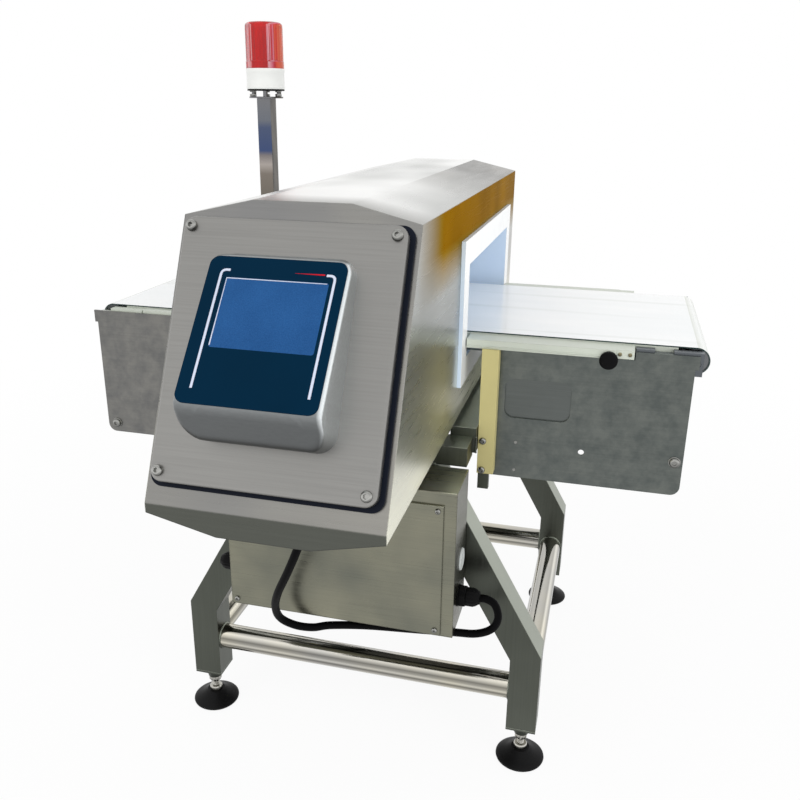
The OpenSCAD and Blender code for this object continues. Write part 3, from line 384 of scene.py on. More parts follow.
def head_sheet():
    """The head's sheet: grey walls with a painted reflection that is pale low down and golden above the
    tunnel on the outfeed side, a roof that is a pale painted highlight with painted shade at its front fold
    and on its outfeed slope, a panel strip with a dark painted reflection below its fold, and a dark painted
    shade on the underside."""
    g = Graph("head_steel", metallic=1.0, edge=2.5)
    streaks = g.noise(STREAK_SCALE, LEVEL, detail=3, rough=0.6)
    clouds = g.noise(3.6, (1, 0.8, 0.35), detail=3)
    wall = g.ramp(clouds, 0.34, 0.66, srgb(140, 141, 136), srgb(188, 188, 184))
    # Painted reflection: the walls turn pale, near white, low down.
    wall = g.mix(g.span(g.position("Z"), 0.95, 0, *LOW_REFLECTION_Z), wall, srgb(252, 251, 232))
    # Painted reflection: a warm golden patch high at the back of the outfeed wall, and a warm tint on its
    # sheen.
    patch = g.noise(6, (1, 1, 0.4), detail=2)
    warm_reflection = g.ramp(patch, 0.34, 0.62, srgb(128, 104, 26), srgb(178, 146, 58))
    towards_back = g.span(g.position("Y"), 0, 1, *WARM_REFLECTION_Y)
    above_tunnel = g.span(g.position("Z"), 0, 1, *WARM_REFLECTION_Z)
    upper_back = g.times(towards_back, above_tunnel)
    warm_reflection_mask = g.times(upper_back, g.span(g.facing("X"), 0, 1, 0.5, 0.9))
    wall = g.mix(warm_reflection_mask, wall, warm_reflection)
    g.link(g.mix(warm_reflection_mask, WHITE, srgb(190, 156, 84)), g.bsdf.inputs["Specular Tint"])
    # Painted highlight: the roof is pale with bright clouds.
    shine = g.noise(5, (1, 0.5, 1), detail=2)
    roof = g.ramp(shine, 0.38, 0.6, srgb(196, 197, 194), srgb(252, 252, 250))
    # Painted shade on the roof's outfeed slope, towards the back.
    slope_shade = g.ramp(g.noise(9, (1, 0.3, 1), detail=2), 0.4, 0.6, srgb(116, 115, 111), srgb(155, 152, 146))
    shaded_slope_mask = g.times(g.span(g.facing("X"), 0, 1, 0.08, 0.2),
                          g.span(g.position("Y"), 0, 1, *SHADED_SLOPE_Y))
    roof = g.mix(shaded_slope_mask, roof, slope_shade)
    # Painted shade: the roof is dimmer by its front fold.
    fold_shade_mask = g.span(g.position("Y"), 1, 0, *ROOF_Y)
    roof = g.mix(fold_shade_mask, roof, srgb(172, 172, 168))
    up = g.facing("Z")
    colour = g.mix(g.span(up, 0, 1, 0.5, 0.9), wall, roof)
    # Painted reflection: the panel strip is dark below its fold, where its faces don't look up.
    strip = g.ramp(clouds, 0.34, 0.66, srgb(138, 138, 138), srgb(160, 158, 152))
    front = g.mix(g.span(up, 0, 1, 0.12, 0.34), srgb(92, 94, 88), strip)
    colour = g.mix(g.span(g.facing("Y"), 1, 0, -0.85, -0.6), colour, front)
    # Painted shade: faces that look down are dark.
    colour = g.mix(g.span(up, 1, 0, -0.5, -0.1), colour, srgb(80, 80, 76))
    lines = g.ramp(streaks, 0.3, 0.7, shade(WHITE, 0.9), WHITE)
    g.colour(g.times(colour, lines, 0.8))
    g.rough(g.span(streaks, 0.26, 0.34))
    g.bump(streaks, 0.03)


# The inner face of a side plate in millimetres, and where its tone turns from warm to cool, in metres
PLATE_IN_Y = 193
WARM_X = (-0.2, 0.1)


def plate_sheet():
    """The conveyor's side plates: mottled dark sheet, paler and warmer on the infeed side, with a painted
    highlight on the faces that look up. The thin sheet that closes each window from inside has one plain
    tone."""
    g = Graph("plate_steel", metallic=1.0, edge=0.6)
    streaks = g.noise(STREAK_SCALE, ALONG_X, detail=3, rough=0.6)
    mottle = g.noise(34, detail=6, rough=0.65)
    cool = g.ramp(mottle, 0.36, 0.64, srgb(92, 97, 95), srgb(112, 116, 112))
    warm = g.ramp(mottle, 0.36, 0.64, srgb(112, 112, 111), srgb(132, 131, 127))
    colour = g.mix(g.span(g.position("X"), 1, 0, *WARM_X), cool, warm)
    scuff = g.noise(60, (0.06, 1, 1), detail=3)
    colour = g.times(colour, g.ramp(scuff, 0.62, 0.72, WHITE, shade(WHITE, 1.25)))
    backing = g.span(g.aside("Y"), 1, 0, PLATE_IN_Y * MM, (PLATE_IN_Y + 0.2) * MM)
    colour = g.mix(backing, colour, srgb(100, 104, 102))
    lines = g.ramp(streaks, 0.3, 0.7, shade(WHITE, 0.86), WHITE)
    # Painted highlight: faces that look up are brighter.
    colour = g.times(colour, g.span(g.facing("Z"), 1.0, 1.9, 0.4, 0.9))
    g.colour(g.times(colour, lines, 0.7))
    g.rough(g.span(mottle, 0.28, 0.4))
    g.bump(streaks, 0.04)


def belt_sheet():
    """White belt with a dark green core at its edges, faint wear lines along its travel, and painted shade
    and highlight where it bends round its ends.
    """
    g = Graph("belt_white", roughness=0.2, edge=0.3)
    clouds = g.noise(5, (0.6, 1.6, 1), detail=3)
    worn = g.noise(22, (0.04, 1, 1), detail=2)
    top = g.ramp(clouds, 0.35, 0.65, srgb(246, 249, 250), srgb(253, 254, 254))
    top = g.times(top, g.ramp(worn, 0.3, 0.4, srgb(242, 243, 241), WHITE))
    # Painted shade and highlight where the belt bends round its ends, by which way it faces along X.
    bend = g.bands(g.span(g.facing("X"), 0, 1, -1, 1), [
        (0.0, srgb(196, 198, 188)), (0.25, srgb(246, 247, 244)), (0.44, srgb(226, 228, 220)), (0.49, WHITE),
        (0.51, WHITE), (0.56, srgb(226, 228, 220)), (0.75, srgb(246, 247, 244)), (1.0, srgb(186, 188, 178)),
    ])
    top = g.times(top, bend)
    side = g.span(g.facing("Y"), 1, 0, -0.8, -0.5)
    rear = g.span(g.facing("Y"), 0, 1, 0.5, 0.8)
    core = srgb(26, 52, 50)
    g.colour(g.mix(rear, g.mix(side, top, core), core))
    g.rough(g.span(clouds, 0.14, 0.28))
    g.set("Coat Weight", 0.2)


# Half the length of the tunnel's lining, up to the faces of its flanges
LINING_X = 150.5


def tunnel_white():
    """Glossy white lining, a cool white inside the tunnel."""
    g = Graph("liner_white", roughness=0.22, edge=1.2)
    clouds = g.noise(7, detail=3)
    pale = g.ramp(clouds, 0.3, 0.7, srgb(248, 250, 252), srgb(253, 254, 254))
    inner = g.ramp(clouds, 0.3, 0.7, srgb(214, 232, 255), srgb(225, 241, 255))
    within = g.span(g.aside("X"), 1, 0, LINING_X * MM, (LINING_X + 0.3) * MM)
    g.colour(g.mix(within, pale, inner))
    g.rough(g.span(clouds, 0.16, 0.28))


# The heights over which the mast's painted reflections of a room lie, in metres
MAST_REFLECTION_Z = (0.82, 1.04)


def mast_metal():
    """Polished mast with painted reflections: dim blue and brown blocks of a room, one above another, and
    painted shade on its outfeed side.
    """
    g = Graph("mast_steel", metallic=1.0, edge=1.6)
    height = g.span(g.position("Z"), 0, 1, *MAST_REFLECTION_Z)
    # Painted reflections of a room, in blocks by height.
    front = g.bands(height, [
        (0.0, srgb(104, 100, 92)), (0.34, srgb(128, 120, 112)), (0.42, srgb(170, 162, 156)),
        (0.5, srgb(128, 122, 122)), (0.54, srgb(70, 84, 120)), (0.74, srgb(82, 92, 118)),
        (0.8, srgb(112, 116, 124)), (1.0, srgb(124, 124, 126)),
    ])
    # Painted shade: faces towards the outfeed end are darker and dappled.
    dapple = g.noise(30, (1, 1, 0.3), detail=2)
    side = g.ramp(dapple, 0.35, 0.65, srgb(62, 60, 58), srgb(106, 102, 96))
    g.colour(g.mix(g.span(g.facing("X"), 0, 1, 0.6, 0.8), front, side))
    streaks = g.noise(STREAK_SCALE, ALONG_Z, detail=3)
    g.rough(g.span(streaks, 0.16, 0.26))
    g.bump(streaks, 0.04)


def red_lens():
    """Clear red lens, with painted highlights: pale and orange bars down its sides, by which way each flute
    faces.
    """
    g = Graph("lens_red", roughness=0.06, edge=0.5)
    clouds = g.noise(14, (1, 1, 0.3), detail=2)
    body = g.ramp(clouds, 0.35, 0.65, srgb(236, 20, 20), srgb(255, 46, 34))
    toward = g.span(g.facing("X"), 0, 1, -1, 1)
    # Painted highlights: pale and orange bars by which way each side faces along X.
    highlight_bars = g.bands(toward, [
        (0.0, srgb(150, 10, 20)), (0.15, srgb(206, 30, 40)), (0.2, srgb(255, 226, 230)),
        (0.3, srgb(255, 196, 202)), (0.34, srgb(196, 8, 14)), (0.5, srgb(232, 12, 12)),
        (0.75, srgb(206, 12, 22)), (0.78, srgb(255, 222, 232)), (0.86, srgb(244, 130, 160)),
        (0.9, srgb(224, 24, 44)), (0.935, srgb(255, 104, 60)), (1.0, srgb(255, 128, 72)),
    ])
    g.colour(g.mix(0.85, body, highlight_bars))
    g.rough(g.span(clouds, 0.04, 0.1))
    g.set("Transmission Weight", 0.6)
    g.set("Specular IOR Level", 0.4)


def screen_glass():
    """Blue display glass, faintly cloudy, over a fine dot pattern."""
    g = Graph("screen_blue", roughness=0.14, edge=0.3)
    clouds = g.noise(16, detail=4)
    dots = g.noise(900, detail=1)
    base = g.ramp(clouds, 0.3, 0.7, srgb(30, 74, 126), srgb(40, 88, 144))
    g.colour(g.mix(0.3, base, g.ramp(dots, 0.3, 0.7, srgb(22, 62, 112), srgb(46, 98, 154))))
    g.rough(g.span(clouds, 0.1, 0.2))
    g.set("Specular IOR Level", 0.06)


# Painted reflections on polished steel: bands of light and dark from the side that looks down (0) to the side
# that looks up (1), each a place and a level
TUBE_REFLECTIONS = [
    (0.0, 0.3), (0.14, 0.62), (0.3, 0.42), (0.4, 0.2), (0.5, 0.72), (0.58, 0.42), (0.68, 0.24),
    (0.77, 0.62), (0.86, 1.0), (0.92, 0.5), (1.0, 0.66),
]
STUD_REFLECTIONS = [(0.0, 0.4), (0.3, 0.85), (0.5, 0.5), (0.7, 1.0), (1.0, 0.9)]
SCREW_REFLECTIONS = [(0.0, 0.14), (0.34, 0.3), (0.5, 0.55), (0.66, 1.0), (0.85, 0.6), (1.0, 0.9)]

# The stand: painted shade on faces that look down, a strong painted highlight on faces that look up.
brushed("stand_steel", srgb(88, 91, 84), ALONG_Z, 0.34, contrast=0.14, cloud=5,
        edge=1.6, below=0.4, above=6.5)
polished("rail_steel", TUBE_REFLECTIONS, srgb(250, 248, 241), warm=srgb(255, 250, 234))
plastic("foot_black", srgb(11, 11, 12), 0.42, specular=0.15)
polished("stud_steel", STUD_REFLECTIONS, srgb(206, 204, 196), 0.2)
plate_sheet()
plastic("cream_plastic", srgb(204, 194, 136), 0.42, edge=1.0, specular=0.3)
polished("screw_steel", SCREW_REFLECTIONS, srgb(190, 190, 186), 0.18)
plastic("bed_plastic", srgb(202, 208, 196), 0.34, edge=1.2)
brushed("block_metal", srgb(104, 108, 112), ALONG_X, 0.36)
brushed("bearer_steel", srgb(97, 97, 93), ALONG_Y, 0.4)
belt_sheet()
brushed("roller_steel", srgb(117, 119, 121), ALONG_Y, 0.26)
head_sheet()
# The door: painted shade on faces that look down and, lightly, on faces that look up.
brushed("door_steel", srgb(162, 161, 158), ALONG_X, 0.38, contrast=0.04, edge=0.8,
        below=0.6, above=0.86)
tunnel_white()
brushed("coil_copper", srgb(184, 115, 66), ALONG_Y, 0.35)
plastic("isolator_rubber", srgb(26, 26, 26), 0.6, specular=0.1)
plastic("gasket_navy", srgb(16, 21, 33), 0.45, specular=0.12)
# The hood: painted shade on its chin, painted highlight on faces that look up, strong painted light on its
# outfeed side.
brushed("hood_steel", srgb(128, 131, 132), (0.3, 1, 1), 0.34, contrast=0.05, edge=1.0,
        below=0.38, above=1.8, side=3.8)
plastic("fascia_navy", srgb(2, 36, 58), 0.4, contrast=0.08, specular=0.03)
screen_glass()
# The cabinet: painted highlight on its top, painted shade on its outfeed side, a warm painted reflection in
# its tone.
brushed("cabinet_steel", srgb(121, 123, 113), ALONG_X, 0.3, contrast=0.16, cloud=7,
        edge=3.0, above=4.5, side=0.6, warm=srgb(138, 136, 119))
plastic("module_grey", srgb(80, 84, 90), 0.5)
plastic("gland_black", srgb(7, 7, 8), 0.45, specular=0.1)
plastic("plug_grey", srgb(190, 194, 192), 0.45)
mast_metal()
plastic("lamp_white", srgb(236, 237, 234), 0.3, contrast=0.03, edge=1.0)
red_lens()
plastic("cable_black", srgb(6, 6, 7), 0.5, specular=0.05)
plastic("line_pale", srgb(206, 212, 230), 0.4, contrast=0.04, specular=0.1)
plastic("accent_red", srgb(206, 24, 38), 0.35, contrast=0.05, specular=0.1)
plastic("led_amber", srgb(255, 196, 120), 0.2, contrast=0.03, coat=0.5)
brushed("pin_brass", srgb(140, 132, 106), ALONG_X, 0.3, edge=0.4)


def dress(obj, name):
    """Gives an object one of the materials."""
    obj.data.materials.clear()
    obj.data.materials.append(materials[name])


slot_of = {s["node"]: s["material_slot"] for s in frame["record"]["subparts"]}
for node_name, node in nodes.items():
    dress(node, slot_of[node_name])
dress(cable, "cable_black")

# Shapes

# How many sides round things have, how many parts an arc has, and how fast a weld's width ripples
ROUND = 48
SMALL_ROUND = 24
ARC_PARTS = 8
RUN_SIDES = 8
RIPPLE_TURN = 2.4


def looking(origin, direction):
    """A frame at a place in millimetres from the feet's middle, its Z along a direction."""
    turn = Vector(direction).to_track_quat("Z", "Y").to_matrix().to_4x4()
    return Matrix.Translation(at(*origin)) @ turn


def shifted(place, x, y, z=0):
    return place @ Matrix.Translation(Vector((x, y, z)) * MM)


def ring(radii, z):
    """A loop at a height through evenly turned points, each at its own radius."""
    turns = [2 * math.pi * i / len(radii) for i in range(len(radii))]
    return [(r * math.cos(a), r * math.sin(a), z) for r, a in zip(radii, turns)]


def circle(d, z, steps=ROUND):
    return ring([d / 2] * steps, z)


def hexagon(flats, z, limit=math.inf):
    """A hexagon across its flats, cut off by a circle of a diameter where one is given."""
    radii = []
    for i in range(SMALL_ROUND):
        off_flat = (2 * math.pi * i / SMALL_ROUND + math.pi / 6) % (math.pi / 3) - math.pi / 6
        radii.append(min(flats / 2 / math.cos(off_flat), limit / 2))
    return ring(radii, z)


def quarter(steps, width, height, first=0):
    """Steps up a round edge: how far in each one lies, and how far below the edge's top."""
    angles = [math.pi / 2 * k / steps for k in range(first, steps + 1)]
    return [(width * (1 - math.cos(a)), height * (1 - math.sin(a))) for a in angles]


def rounded(w, h, r, z, centre, side=1):
    """A rounded rectangle's points at a height, each straight side in a number of parts."""
    corners = []
    for k, (sx, sy) in enumerate(((1, -1), (1, 1), (-1, 1), (-1, -1))):
        x = centre[0] + sx * (w / 2 - r)
        y = centre[1] + sy * (h / 2 - r)
        angles = [math.radians(90 * (k - 1) + 90 * i / ARC_PARTS) for i in range(ARC_PARTS + 1)]
        corners.append([(x + r * math.cos(a), y + r * math.sin(a)) for a in angles])
    points = []
    for corner, following in zip(corners, corners[1:] + corners[:1]):
        points += corner
        (x0, y0), (x1, y1) = corner[-1], following[0]
        points += [(x0 + (x1 - x0) * i / side, y0 + (y1 - y0) * i / side) for i in range(1, side)]
    return [(x, y, z) for x, y in points]


def stack(bm, place, loops, low_cap=True):
    """A skin over loops of equally many points, one above another, closed at its top."""
    rows = [[bm.verts.new(place @ (Vector(p) * MM)) for p in loop] for loop in loops]
    for low, high in zip(rows, rows[1:]):
        for i in range(len(low)):
            j = (i + 1) % len(low)
            bm.faces.new((low[i], low[j], high[j], high[i]))
    if low_cap:
        bm.faces.new(list(reversed(rows[0])))
    bm.faces.new(rows[-1])


def turned(bm, place, profile, steps=ROUND):
    """A turned shape from pairs of diameter and height."""
    stack(bm, place, [circle(d, z, steps) for d, z in profile])


def run(bm, points, d, ripple=0.0, closed=False):
    """A round run along points in metres, its thickness rippling by a share."""
    count = len(points)
    rows = []
    side = None
    for i, p in enumerate(points):
        before = points[i - 1] if closed or i > 0 else p
        after = points[(i + 1) % count] if closed or i < count - 1 else p
        along = (after - before).normalized()
        if side is None:
            side = along.orthogonal()
        side = (side - along * side.dot(along)).normalized()
        up = along.cross(side)
        r = d / 2 * MM * (1 + ripple * math.sin(i * RIPPLE_TURN))
        angles = [2 * math.pi * k / RUN_SIDES for k in range(RUN_SIDES)]
        rows.append([bm.verts.new(p + r * (math.cos(a) * side + math.sin(a) * up)) for a in angles])
    joins = list(zip(rows, rows[1:])) + ([(rows[-1], rows[0])] if closed else [])
    for low, high in joins:
        for k in range(RUN_SIDES):
            j = (k + 1) % RUN_SIDES
            bm.faces.new((low[k], low[j], high[j], high[k]))
    if not closed:
        bm.faces.new(list(reversed(rows[0])))
        bm.faces.new(rows[-1])


def piece(name, bm, slot, replaces=(), material=None, crease=32, body="machine"):
    """A finished object from a mesh, smooth but for edges sharper than an angle in degrees."""
    bmesh.ops.recalc_face_normals(bm, faces=bm.faces)
    for face in bm.faces:
        face.smooth = True
    for edge in bm.edges:
        edge.smooth = len(edge.link_faces) == 2 and edge.calc_face_angle(0) < math.radians(crease)
    mesh = bpy.data.meshes.new(name)
    bm.to_mesh(mesh)
    bm.free()
    obj = add(name, mesh)
    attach(obj, body)
    if replaces:
        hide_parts(*replaces)
    dress(obj, material or slot)
    return obj


# Stand

CORNERS = {"front_left": (-1, -1), "front_right": (1, -1), "rear_left": (-1, 1), "rear_right": (1, 1)}
FOOT_X = (rear_high.x - foot_high.x) / 2 / MM
FOOT_Y = (rear_high.y - foot_high.y) / 2 / MM
# Diameter and height of each ring of a pad, from the floor up
PAD_PROFILE = [
    (70, 0), (74, 0.6), (79, 3), (80, 4.5), (79.4, 6), (76, 7.6), (69, 9.6), (60, 11.8), (51, 14.4),
    (43, 17), (37, 19.4), (32, 21), (30, 22),
]
STUD_D = 12
THREAD_PITCH = 1.75
THREAD_DEPTH = 1.1
THREAD_ROWS = 6
THREAD_TOP = 78
STUD_TOP = 110
SHANK_D = STUD_D - 0.6
COLLAR_D = 22
COLLAR_Z = (22, 30)
COLLAR_BEVEL = 2
NUT_FLATS = 19
NUT_Z = (42, 52)
NUT_CHAMFER = 1.4
# The round end faces of a nut, as a share of its width across flats
NUT_FACE = 0.98


def make_foot_pad(name, x, y):
    bm = bmesh.new()
    turned(bm, looking((x, y, 0), (0, 0, 1)), PAD_PROFILE)
    node = "foot_pad_" + name
    piece("pad_" + name, bm, "foot_black", [node], body=body_of(nodes[node])[0])


def thread_loops(low, high):
    """Loops of a screw thread: the radius follows a wave that climbs as it goes round."""
    rows = round((high - low) / THREAD_PITCH * THREAD_ROWS)
    loops = []
    for row in range(rows + 1):
        z = low + (high - low) * row / rows
        loop = []
        for x, y, _ in circle(1, z, SMALL_ROUND):
            phase = (z / THREAD_PITCH - math.atan2(y, x) / (2 * math.pi)) % 1
            depth = THREAD_DEPTH * abs(2 * phase - 1)
            loop.append((x * (STUD_D - 2 * depth), y * (STUD_D - 2 * depth), z))
        loops.append(loop)
    return loops


def nut_loops(flats, low, high, chamfer=NUT_CHAMFER):
    """Loops of a hexagon nut with chamfered ends."""
    face = flats * NUT_FACE
    return [
        hexagon(flats, low, face), hexagon(flats, low + chamfer / 2), hexagon(flats, high - chamfer / 2),
        hexagon(flats, high, face),
    ]


def make_foot_stud(name, x, y):
    """A foot's threaded stud, its collar on the pad and its lock nut."""
    bm = bmesh.new()
    place = looking((x, y, 0), (0, 0, 1))
    stack(bm, place, thread_loops(COLLAR_Z[1], THREAD_TOP))
    shank = [(STUD_D - 1, THREAD_TOP - 1), (SHANK_D, THREAD_TOP), (SHANK_D, STUD_TOP)]
    turned(bm, place, shank, SMALL_ROUND)
    low, high = COLLAR_Z
    turned(bm, place, [
        (COLLAR_D, low), (COLLAR_D, high - COLLAR_BEVEL),
        (COLLAR_D - 1.5 * COLLAR_BEVEL, high), (STUD_D - 1, high),
    ])
    stack(bm, place, nut_loops(NUT_FLATS, *NUT_Z))
    node = "foot_stud_" + name
    piece("stud_" + name, bm, "stud_steel", [node], body=body_of(nodes[node])[0])


for foot_name, (sx, sy) in CORNERS.items():
    make_foot_pad(foot_name, sx * FOOT_X, sy * FOOT_Y)
    make_foot_stud(foot_name, sx * FOOT_X, sy * FOOT_Y)

RAIL_D = 42
RAIL_Z = 139
LEG_HALF = 24
LEG_TOP = 527
LEG_TOP_X = 97
LEG_KNEE = 210
BOSS_TOP_Z = 70
BOSS_RING_D = 33.5
BEAM_X = (136, 176)
BEAM_WELD_Z = (531, 557)
WELD_D = 4
THIN_WELD_D = 3.2
WELD_STEP = 1.6
WELD_RIPPLE = 0.18


def ring_points(origin, direction, d):
    """Points of a weld round a tube, evenly set, at a place in millimetres."""
    count = round(math.pi * d / WELD_STEP)
    place = looking(origin, direction)
    return [place @ (Vector(p) * MM) for p in circle(d, 0, count)]


def line_points(a, b):
    """Points of a straight weld between two places in millimetres."""
    start, end = at(*a), at(*b)
    count = max(2, round((end - start).length / MM / WELD_STEP))
    return [start.lerp(end, i / count) for i in range(count + 1)]


def weld(bm, points, d=WELD_D, closed=False):
    run(bm, points, d, WELD_RIPPLE, closed)


def make_welds():
    """Rippled weld beads where the tubes of the stand meet."""
    bm = bmesh.new()
    leg_y = (FOOT_Y - LEG_HALF, FOOT_Y + LEG_HALF)
    lean_half = LEG_HALF / math.cos(math.atan((FOOT_X - LEG_TOP_X) / (LEG_TOP - LEG_KNEE)))
    for sx, sy in CORNERS.values():
        rail_in = (sx * (FOOT_X - LEG_HALF), sy * FOOT_Y, RAIL_Z)
        weld(bm, ring_points(rail_in, (1, 0, 0), RAIL_D), closed=True)
        rail_side = (sx * FOOT_X, sy * leg_y[0], RAIL_Z)
        weld(bm, ring_points(rail_side, (0, 1, 0), RAIL_D), closed=True)
        boss = (sx * FOOT_X, sy * FOOT_Y, BOSS_TOP_Z)
        weld(bm, ring_points(boss, (0, 0, 1), BOSS_RING_D), THIN_WELD_D, closed=True)
        for y in leg_y:
            low = (sx * (LEG_TOP_X - lean_half), sy * y, LEG_TOP)
            high = (sx * (LEG_TOP_X + lean_half), sy * y, LEG_TOP)
            weld(bm, line_points(low, high))
        for x in BEAM_X:
            low, high = [(sx * x, sy * leg_y[0], z) for z in BEAM_WELD_Z]
            weld(bm, line_points(low, high), THIN_WELD_D)
    piece("weld_beads", bm, "stand_steel", crease=70)


make_welds()

# Fasteners

PLATE_FACE_Y = 196
POST_FACE_Y = 216
COVER_FACE_Y = -370
# The leaning panel of the head: heights over it are along its Z, and v runs up it along its Y
PANEL_FOOT = (0, -629, 595)
PANEL_TILT = 65
PANEL = Matrix.Translation(at(*PANEL_FOOT)) @ Matrix.Rotation(math.radians(PANEL_TILT), 4, "X")
DOOR_FACE = 20
# Shares of a head's width and height, from its edge up to its socket
HEAD_RISE = ((1.0, 0.0), (1.0, 0.35), (0.94, 0.62), (0.82, 0.84), (0.66, 0.97), (0.56, 1.0))
# The socket's floor as a share of the head's height, and the washer's edge as a share of its thickness
SOCKET_FLOOR = 0.35
WASHER_EDGE = 0.7
WASHER_BEVEL = 0.4


def socket_head(bm, place, d, h, flats, washer_d=0, washer_t=0):
    """A domed screw head with a hexagon socket, and a washer under it where one is given."""
    loops = []
    if washer_d:
        loops += [circle(washer_d, 0, SMALL_ROUND), circle(washer_d, washer_t * WASHER_EDGE, SMALL_ROUND)]
        loops += [circle(washer_d - 2 * WASHER_BEVEL, washer_t, SMALL_ROUND)]
    loops += [circle(d * width, washer_t + h * height, SMALL_ROUND) for width, height in HEAD_RISE]
    loops += [hexagon(flats, washer_t + h), hexagon(flats, washer_t + h * SOCKET_FLOOR)]
    stack(bm, place, loops)


DOOR_SCREW_X = 123
DOOR_SCREW_V = (40, 324)
COVER_SCREW_X = (-164.5, 148.5)
COVER_SCREW_Z = (303.5, 497.5)
POST_SCREW_X = 184.5
POST_SCREW_Z = (499, 547)
TIE_ENDS = ((-461, 500), (466, 537))
# Width, height and socket of each kind of head, and width and thickness of its washer
DOOR_HEAD = (13.4, 5, 5.4)
COVER_HEAD = (8.6, 3, 3.4)
POST_HEAD = (11, 4, 5)
TIE_HEAD = (15.2, 4.4, 6, 18, 1.4)


def make_heads(name, places, head, replaces=()):
    """One piece of equal screw heads."""
    bm = bmesh.new()
    for place in places:
        socket_head(bm, place, *head)
    piece(name, bm, "screw_steel", replaces)


def make_screws():
    """The screws of the door, the cabinet's cover and the posts, and the ends of the tie rods."""
    door = [shifted(PANEL, x, v, DOOR_FACE) for x in (-DOOR_SCREW_X, DOOR_SCREW_X) for v in DOOR_SCREW_V]
    make_heads("door_screw_heads", door, DOOR_HEAD, ["door_screws"])
    cover = [looking((x, COVER_FACE_Y, z), (0, -1, 0)) for x in COVER_SCREW_X for z in COVER_SCREW_Z]
    make_heads("cover_screw_heads", cover, COVER_HEAD, ["cover_screws"])
    posts = []
    for sx, sy in CORNERS.values():
        posts += [looking((sx * POST_SCREW_X, sy * POST_FACE_Y, z), (0, sy, 0)) for z in POST_SCREW_Z]
    make_heads("post_screw_heads", posts, POST_HEAD, ["post_screws"])
    ties = [looking((x, sy * PLATE_FACE_Y, z), (0, sy, 0)) for x, z in TIE_ENDS for sy in (-1, 1)]
    make_heads("tie_rod_heads", ties, TIE_HEAD)


make_screws()

# Door and display

DOOR_W = 268
DOOR_H = 309
DOOR_LOW = 27.5
DOOR_BACK = 5
DOOR_R = 14
DOOR_FOLD = 4.5
DOOR_FOLD_STEPS = 6


def make_door():
    """The panel's door: a sheet with its edge folded back in a round bend."""
    bm = bmesh.new()
    middle = (0, DOOR_LOW + DOOR_H / 2)
    loops = [rounded(DOOR_W, DOOR_H, DOOR_R, DOOR_BACK, middle)]
    for draw_in, drop in quarter(DOOR_FOLD_STEPS, DOOR_FOLD, DOOR_FOLD):
        w, h = DOOR_W - 2 * draw_in, DOOR_H - 2 * draw_in
        loops.append(rounded(w, h, DOOR_R - draw_in, DOOR_FACE - drop, middle))
    stack(bm, PANEL, loops)
    piece("door_sheet", bm, "door_steel", ["panel_door"])


HOOD_W = 166
HOOD_LOW = 79
HOOD_H = 215
HOOD_R = 22
# Where the hood's outline bends, each a place up the panel and a height over it
HOOD_KEEL = (79, 50)
HOOD_LIP = (112, 88)
HOOD_TOP = (287, 42)
HOOD_BACK = (294, 20)
HOOD_SOFT = 3.0
HOOD_ROUND = 7
HOOD_ROUND_STEPS = 8
HOOD_WALL_SHARES = (0.25, 0.5, 0.75)
HOOD_SIDE_PARTS = 24
HOOD_FACE_LOOPS = 12
HOOD_MIDDLE = 4
MERGE = 0.02


def hood_height(v):
    """The hood's height over the panel: the chin, the face and the top, with soft creases."""
    lines = ((HOOD_KEEL, HOOD_LIP), (HOOD_LIP, HOOD_TOP), (HOOD_TOP, HOOD_BACK))
    heights = [a[1] + (v - a[0]) * (b[1] - a[1]) / (b[0] - a[0]) for a, b in lines]
    lowest = min(heights)
    total = sum(math.exp((lowest - height) / HOOD_SOFT) for height in heights)
    return max(DOOR_FACE, lowest - HOOD_SOFT * math.log(total))


def make_hood():
    """The display's housing: a wedge with a lip towards the reader and round edges."""
    bm = bmesh.new()
    middle = (0, HOOD_LOW + HOOD_H / 2)
    loops = [rounded(HOOD_W, HOOD_H, HOOD_R, DOOR_FACE, middle, side=HOOD_SIDE_PARTS)]

    def lifted(draw_in, drop):
        flat = rounded(HOOD_W - 2 * draw_in, HOOD_H - 2 * draw_in, max(1, HOOD_R - draw_in), 0, middle,
                       side=HOOD_SIDE_PARTS)
        return [(x, v, max(DOOR_FACE, hood_height(v) - drop)) for x, v, _ in flat]

    rim = lifted(0, HOOD_ROUND)
    for share in HOOD_WALL_SHARES:
        loops.append([(x, v, DOOR_FACE + (z - DOOR_FACE) * share) for x, v, z in rim])
    loops += [lifted(*step) for step in quarter(HOOD_ROUND_STEPS, HOOD_ROUND, HOOD_ROUND)]
    reach = HOOD_W / 2 - HOOD_ROUND - HOOD_MIDDLE
    for k in range(1, HOOD_FACE_LOOPS + 1):
        loops.append(lifted(HOOD_ROUND + reach * k / HOOD_FACE_LOOPS, 0))
    stack(bm, PANEL, loops, low_cap=False)
    bmesh.ops.remove_doubles(bm, verts=bm.verts, dist=MERGE * MM)
    piece("display_hood", bm, "hood_steel", ["display_housing"], crease=55)


FACE_RUN = HOOD_TOP[0] - HOOD_LIP[0]
FACE_FALL = HOOD_LIP[1] - HOOD_TOP[1]
FACE_TILT = math.atan2(FACE_FALL, FACE_RUN)
# The face of the hood, from its lip: x across it, y up it
FACE = shifted(PANEL, 0, *HOOD_LIP) @ Matrix.Rotation(-FACE_TILT, 4, "X")
FASCIA_T = 1.5
SCREEN_LEFT = -56.5
SCREEN_RIGHT = 62.5
SCREEN_LOW = 68
SCREEN_TOP = 152
LINE_W = 3.2
LINE_T = 0.35
# Each bracket's place across the face and the reach of its hook
BRACKETS = ((-63.5, 10), (68, -10))
BRACKET_TOP = 161
BRACKET_LOW = 20
BRACKET_BEND = 6
BEND_PARTS = 6
